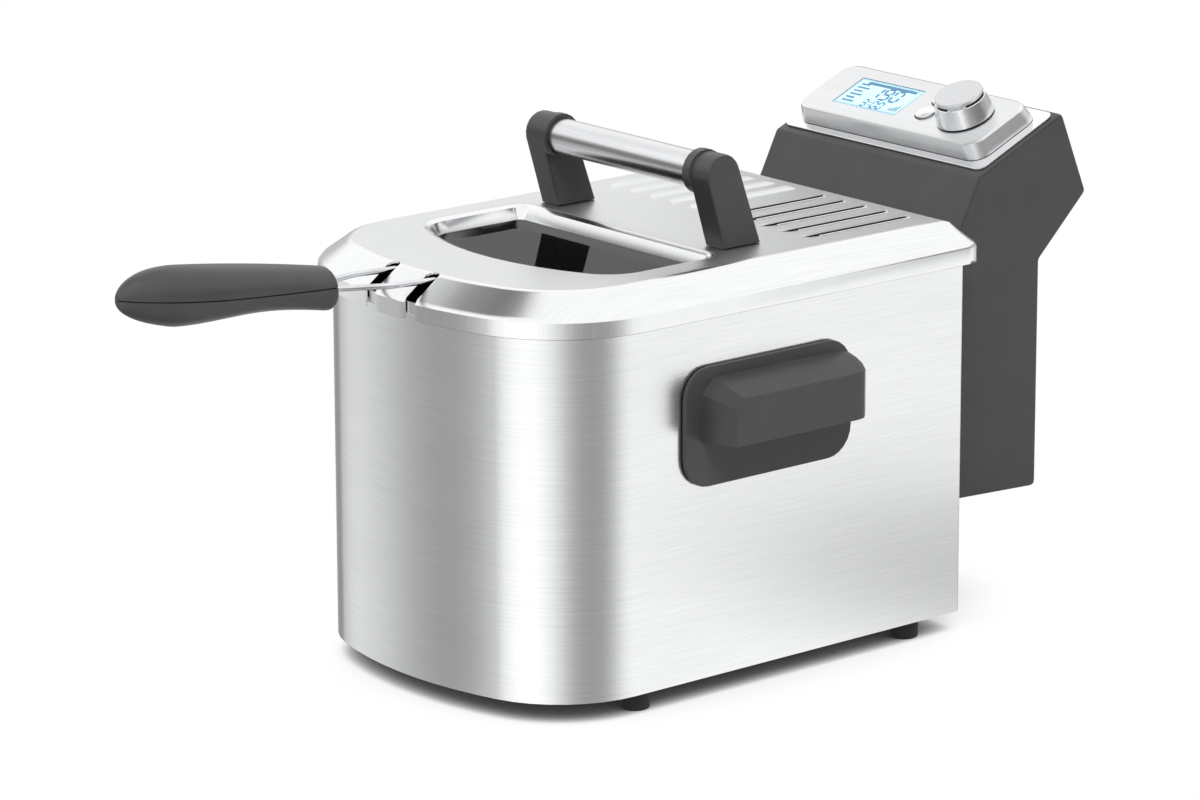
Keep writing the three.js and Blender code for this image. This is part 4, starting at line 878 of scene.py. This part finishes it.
def louvres():
    """Five vents a side, whose open edges face outwards."""
    for hand, side in (("left", -1), ("right", 1)):
        mesh = bmesh.new()
        places = [side * x for x in VENTS]
        for x in places:
            louvre(mesh, x, side)
        lips = [slot_lip(x, side) for x in places]
        wires(f"vent_lips_{hand}", lips, 0.35, bright_steel, ["lid_shell"], replace=False)
        bmesh.ops.solidify(mesh, geom=mesh.faces[:], thickness=0.6 * MM)
        finished(f"vent_louvres_{hand}", mesh, lid_steel, ["lid_shell"], 50, replace=False)


louvres()


# ---------------------------------------------------------------- studio and camera

# How bright the room looks below the horizon, round from the left (-180 degrees) by the front
# (-90) and the right (0) to the back: soft boxes, and dark gaps between them.
LOW_ROOM = [
    (-180, 0.34), (-172, 1.05), (-165, 0.98), (-150, 0.8), (-138, 0.54), (-126, 0.39), (-114, 0.41),
    (-106, 0.86), (-96, 1.28), (-80, 1.48), (-64, 1.5), (-50, 1.27), (-40, 0.96), (-30, 0.6),
    (-18, 0.43), (2, 0.43), (14, 0.66), (24, 1.12), (34, 1.3), (70, 1.3), (95, 0.8), (115, 0.65),
    (130, 1.0), (150, 0.55), (168, 0.28), (180, 0.34),
]
# How bright the horizon is, which the bar, the dial and the lid's top see.
HORIZON = [
    (-180, 0.5), (-160, 0.4), (-146, 0.2), (-132, 0.2), (-118, 0.5), (-90, 0.7), (-40, 0.5),
    (0, 0.25), (30, 0.2), (55, 0.4), (90, 0.6), (118, 0.5), (135, 0.52), (150, 0.6), (162, 0.6),
    (180, 0.5),
]
CEILING = 1.28
BELOW = 0.2  # looking straight down, into the object's own shade
# Where each takes over from the one below it, by the sine of the height.
LOW_EDGE, HORIZON_EDGE, CEILING_EDGE = (-0.97, -0.8), (-0.2, -0.06), (0.14, 0.34)
# The room that matt surfaces see, from its foot to its top.
SOFT_EDGE, SOFT = (-0.6, 0.9), (0.25, 0.7)
# A dark flag high on the left: direction, and the cosines where it starts and is full.
FLAG = (-0.47, -0.126, 0.874)
FLAG_EDGE = (0.95, 0.992)
FLAG_TONE = 0.2


def around(tree, bearing, stops):
    """A curve of brightness round the compass, through stops of (degrees, brightness)."""
    turns = {"Value": bearing, "From Min": -180.0, "From Max": 180.0}
    made = node(tree, "ValToRGB", {"Fac": node(tree, "MapRange", turns).outputs[0]})
    made.color_ramp.interpolation = "EASE"
    elements = made.color_ramp.elements
    while len(elements) < len(stops):
        elements.new(0.5)
    for stop, (degrees, brightness) in zip(elements, stops):
        stop.position = (degrees + 180) / 360
        stop.color = (brightness, brightness, brightness, 1)
    return made.outputs[0]


def rising(tree, value, start, full, under, over):
    """One brightness up to a value's start, blended into another where it is full."""
    ends = {"Value": value, "From Min": start, "From Max": full}
    rise = node(tree, "MapRange", ends, interpolation_type="SMOOTHSTEP").outputs[0]
    return node(tree, "Mix", {"Factor": rise, "A": under, "B": over}).outputs[0]


def room():
    """Plain white light for matt surfaces, and soft boxes for what shines."""
    world = bpy.data.worlds.new("studio_room")
    tree = emptied(world)
    path = node(tree, "LightPath").outputs
    direction = node(tree, "TexCoord").outputs["Generated"]
    parts = node(tree, "SeparateXYZ", {0: direction}).outputs
    height = parts["Z"]
    turn = node(tree, "Math", {0: parts["Y"], 1: parts["X"]}, operation="ARCTAN2").outputs[0]
    bearing = node(tree, "Math", {0: turn}, operation="DEGREES").outputs[0]
    towards = node(tree, "VectorMath", {0: direction, 1: FLAG}, operation="DOT_PRODUCT")
    ceiling = rising(tree, towards.outputs["Value"], *FLAG_EDGE, CEILING, FLAG_TONE)
    low = rising(tree, height, *LOW_EDGE, BELOW, around(tree, bearing, LOW_ROOM))
    middle = rising(tree, height, *HORIZON_EDGE, low, around(tree, bearing, HORIZON))
    whole = rising(tree, height, *CEILING_EDGE, middle, ceiling)
    soft = rising(tree, height, *SOFT_EDGE, *SOFT)
    shine, matt, seen = (
        node(tree, "Background", {"Color": (1, 1, 1, 1), "Strength": strength}).outputs[0]
        for strength in (whole, soft, 1.0)
    )
    lit = node(tree, "MixShader", {0: path["Is Glossy Ray"], 1: matt, 2: shine}).outputs[0]
    out = node(tree, "MixShader", {0: path["Is Camera Ray"], 1: lit, 2: seen}).outputs[0]
    node(tree, "OutputWorld", {"Surface": out})
    bpy.context.scene.world = world


# The middle of the shade on the floor that the right-hand side mirrors.
SHADE = (200, 130, 0)
# A dark card, high behind the left, and the place on the rear of the lid that mirrors it.
CARD, CARD_SEEN_FROM = (-358, 385, 440), (60, -18, LID_TOP)
# How bright the floor looks, by how open the sky over it is: dark close under the object.
CONTACT = [(0, 0.01), (0.12, 0.08), (0.3, 0.45), (0.45, 0.86), (0.62, 1)]


def dimmed(tree, centre, near, far, depth, tone):
    """A soft round patch of grey that shows only in mirrors, clear outside it."""
    where = node(tree, "TexCoord").outputs["Object"]
    apart = node(tree, "VectorMath", {0: where, 1: centre}, operation="DISTANCE")
    clearing = rising(tree, apart.outputs["Value"], near, far, depth, 0.0)
    grey = node(tree, "Emission", {"Color": (tone, tone, tone, 1), "Strength": 1.0}).outputs[0]
    clear = node(tree, "BsdfTransparent").outputs[0]
    return node(tree, "MixShader", {0: clearing, 1: clear, 2: grey}).outputs[0]


def screen(name, size, place, material):
    """A square sheet of the studio, which is no part of the object."""
    mesh = bmesh.new()
    bmesh.ops.create_grid(mesh, x_segments=1, y_segments=1, size=size)
    mesh.transform(place)
    data = bpy.data.meshes.new(name)
    mesh.to_mesh(data)
    mesh.free()
    data.materials.append(material)
    made = bpy.data.objects.new(name, data)
    bpy.context.scene.collection.objects.link(made)
    return made


def card():
    """A card for mirrors only, square to the way they look at it."""
    material = bpy.data.materials.new("dark_card_cloth")
    tree = emptied(material)
    node(tree, "OutputMaterial", {"Surface": dimmed(tree, at(*CARD), 0.05, 0.18, 0.85, 0.1)})
    facing = (at(*CARD) - at(*CARD_SEEN_FROM)).to_track_quat("Z", "Y").to_matrix().to_4x4()
    made = screen("dark_card", 0.25, Matrix.Translation(at(*CARD)) @ facing, material)
    for kind in ("camera", "diffuse", "transmission", "shadow", "volume_scatter"):
        setattr(made, "visible_" + kind, False)


def floor():
    """A white sweep that burns out to white and keeps a close soft shadow under the object."""
    material = bpy.data.materials.new("white_sweep_paper")
    tree = emptied(material)
    near = node(tree, "AmbientOcclusion", {"Distance": 0.12}, samples=16)
    curve = node(tree, "ValToRGB", {"Fac": near.outputs["AO"]})
    stops = curve.color_ramp.elements
    while len(stops) < len(CONTACT):
        stops.new(0.5)
    for stop, (position, value) in zip(stops, CONTACT):
        stop.position = position
        stop.color = (value, value, value, 1)
    lit = node(tree, "Emission", {"Color": curve.outputs[0], "Strength": 1.0}).outputs[0]
    paper = node(tree, "BsdfDiffuse", {"Color": (0.8, 0.8, 0.8, 1)}).outputs[0]
    path = node(tree, "LightPath").outputs
    seen = node(tree, "MixShader", {0: path["Is Camera Ray"], 1: paper, 2: lit}).outputs[0]
    # In mirrors only the long soft shadow behind the right-hand side shows.
    mirrored = dimmed(tree, at(*SHADE), 0.05, 0.26, 0.5, 0.3)
    both = node(tree, "MixShader", {0: path["Is Glossy Ray"], 1: seen, 2: mirrored})
    node(tree, "OutputMaterial", {"Surface": both.outputs[0]})
    screen("floor", 6, Matrix.Identity(4), material)


def lamp(name, place, size, power):
    """A square lamp aimed at the object, which mirrors don't show."""
    towards = Vector((0, 0, 0.15))
    place = Vector(place)
    data = bpy.data.lights.new(name, "AREA")
    data.size = size
    data.energy = power
    made = bpy.data.objects.new(name, data)
    aim = (towards - place).to_track_quat("-Z", "Y")
    made.matrix_world = Matrix.Translation(place) @ aim.to_matrix().to_4x4()
    made.visible_glossy = False
    bpy.context.scene.collection.objects.link(made)


LENS = 163.3  # mm, on a sensor 36 mm wide
EYE = (2223.66, -2031.38, 914.14)
EYE_ANGLES = (50.05, 14.93, -0.157)  # azimuth, pitch down and roll, in degrees


def camera():
    """A long lens, from the front right and a little above."""
    data = bpy.data.cameras.new("camera")
    data.lens = LENS
    data.sensor_width = 36
    data.clip_end = 30
    eye = bpy.data.objects.new("camera", data)
    azimuth, pitch, roll = (math.radians(angle) for angle in EYE_ANGLES)
    turn = Matrix.Rotation(azimuth, 4, "Z") @ Matrix.Rotation(math.pi / 2 - pitch, 4, "X")
    eye.matrix_world = Matrix.Translation(at(*EYE)) @ turn @ Matrix.Rotation(roll, 4, "Z")
    bpy.context.scene.collection.objects.link(eye)
    bpy.context.scene.camera = eye


room()
floor()
card()
lamp("key_light", (-0.5, -2.4, 1.5), 1.3, 16)
lamp("top_light", (1.1, -0.8, 2.2), 1.2, 70)
camera()
bpy.context.scene.view_settings.view_transform = "Standard"
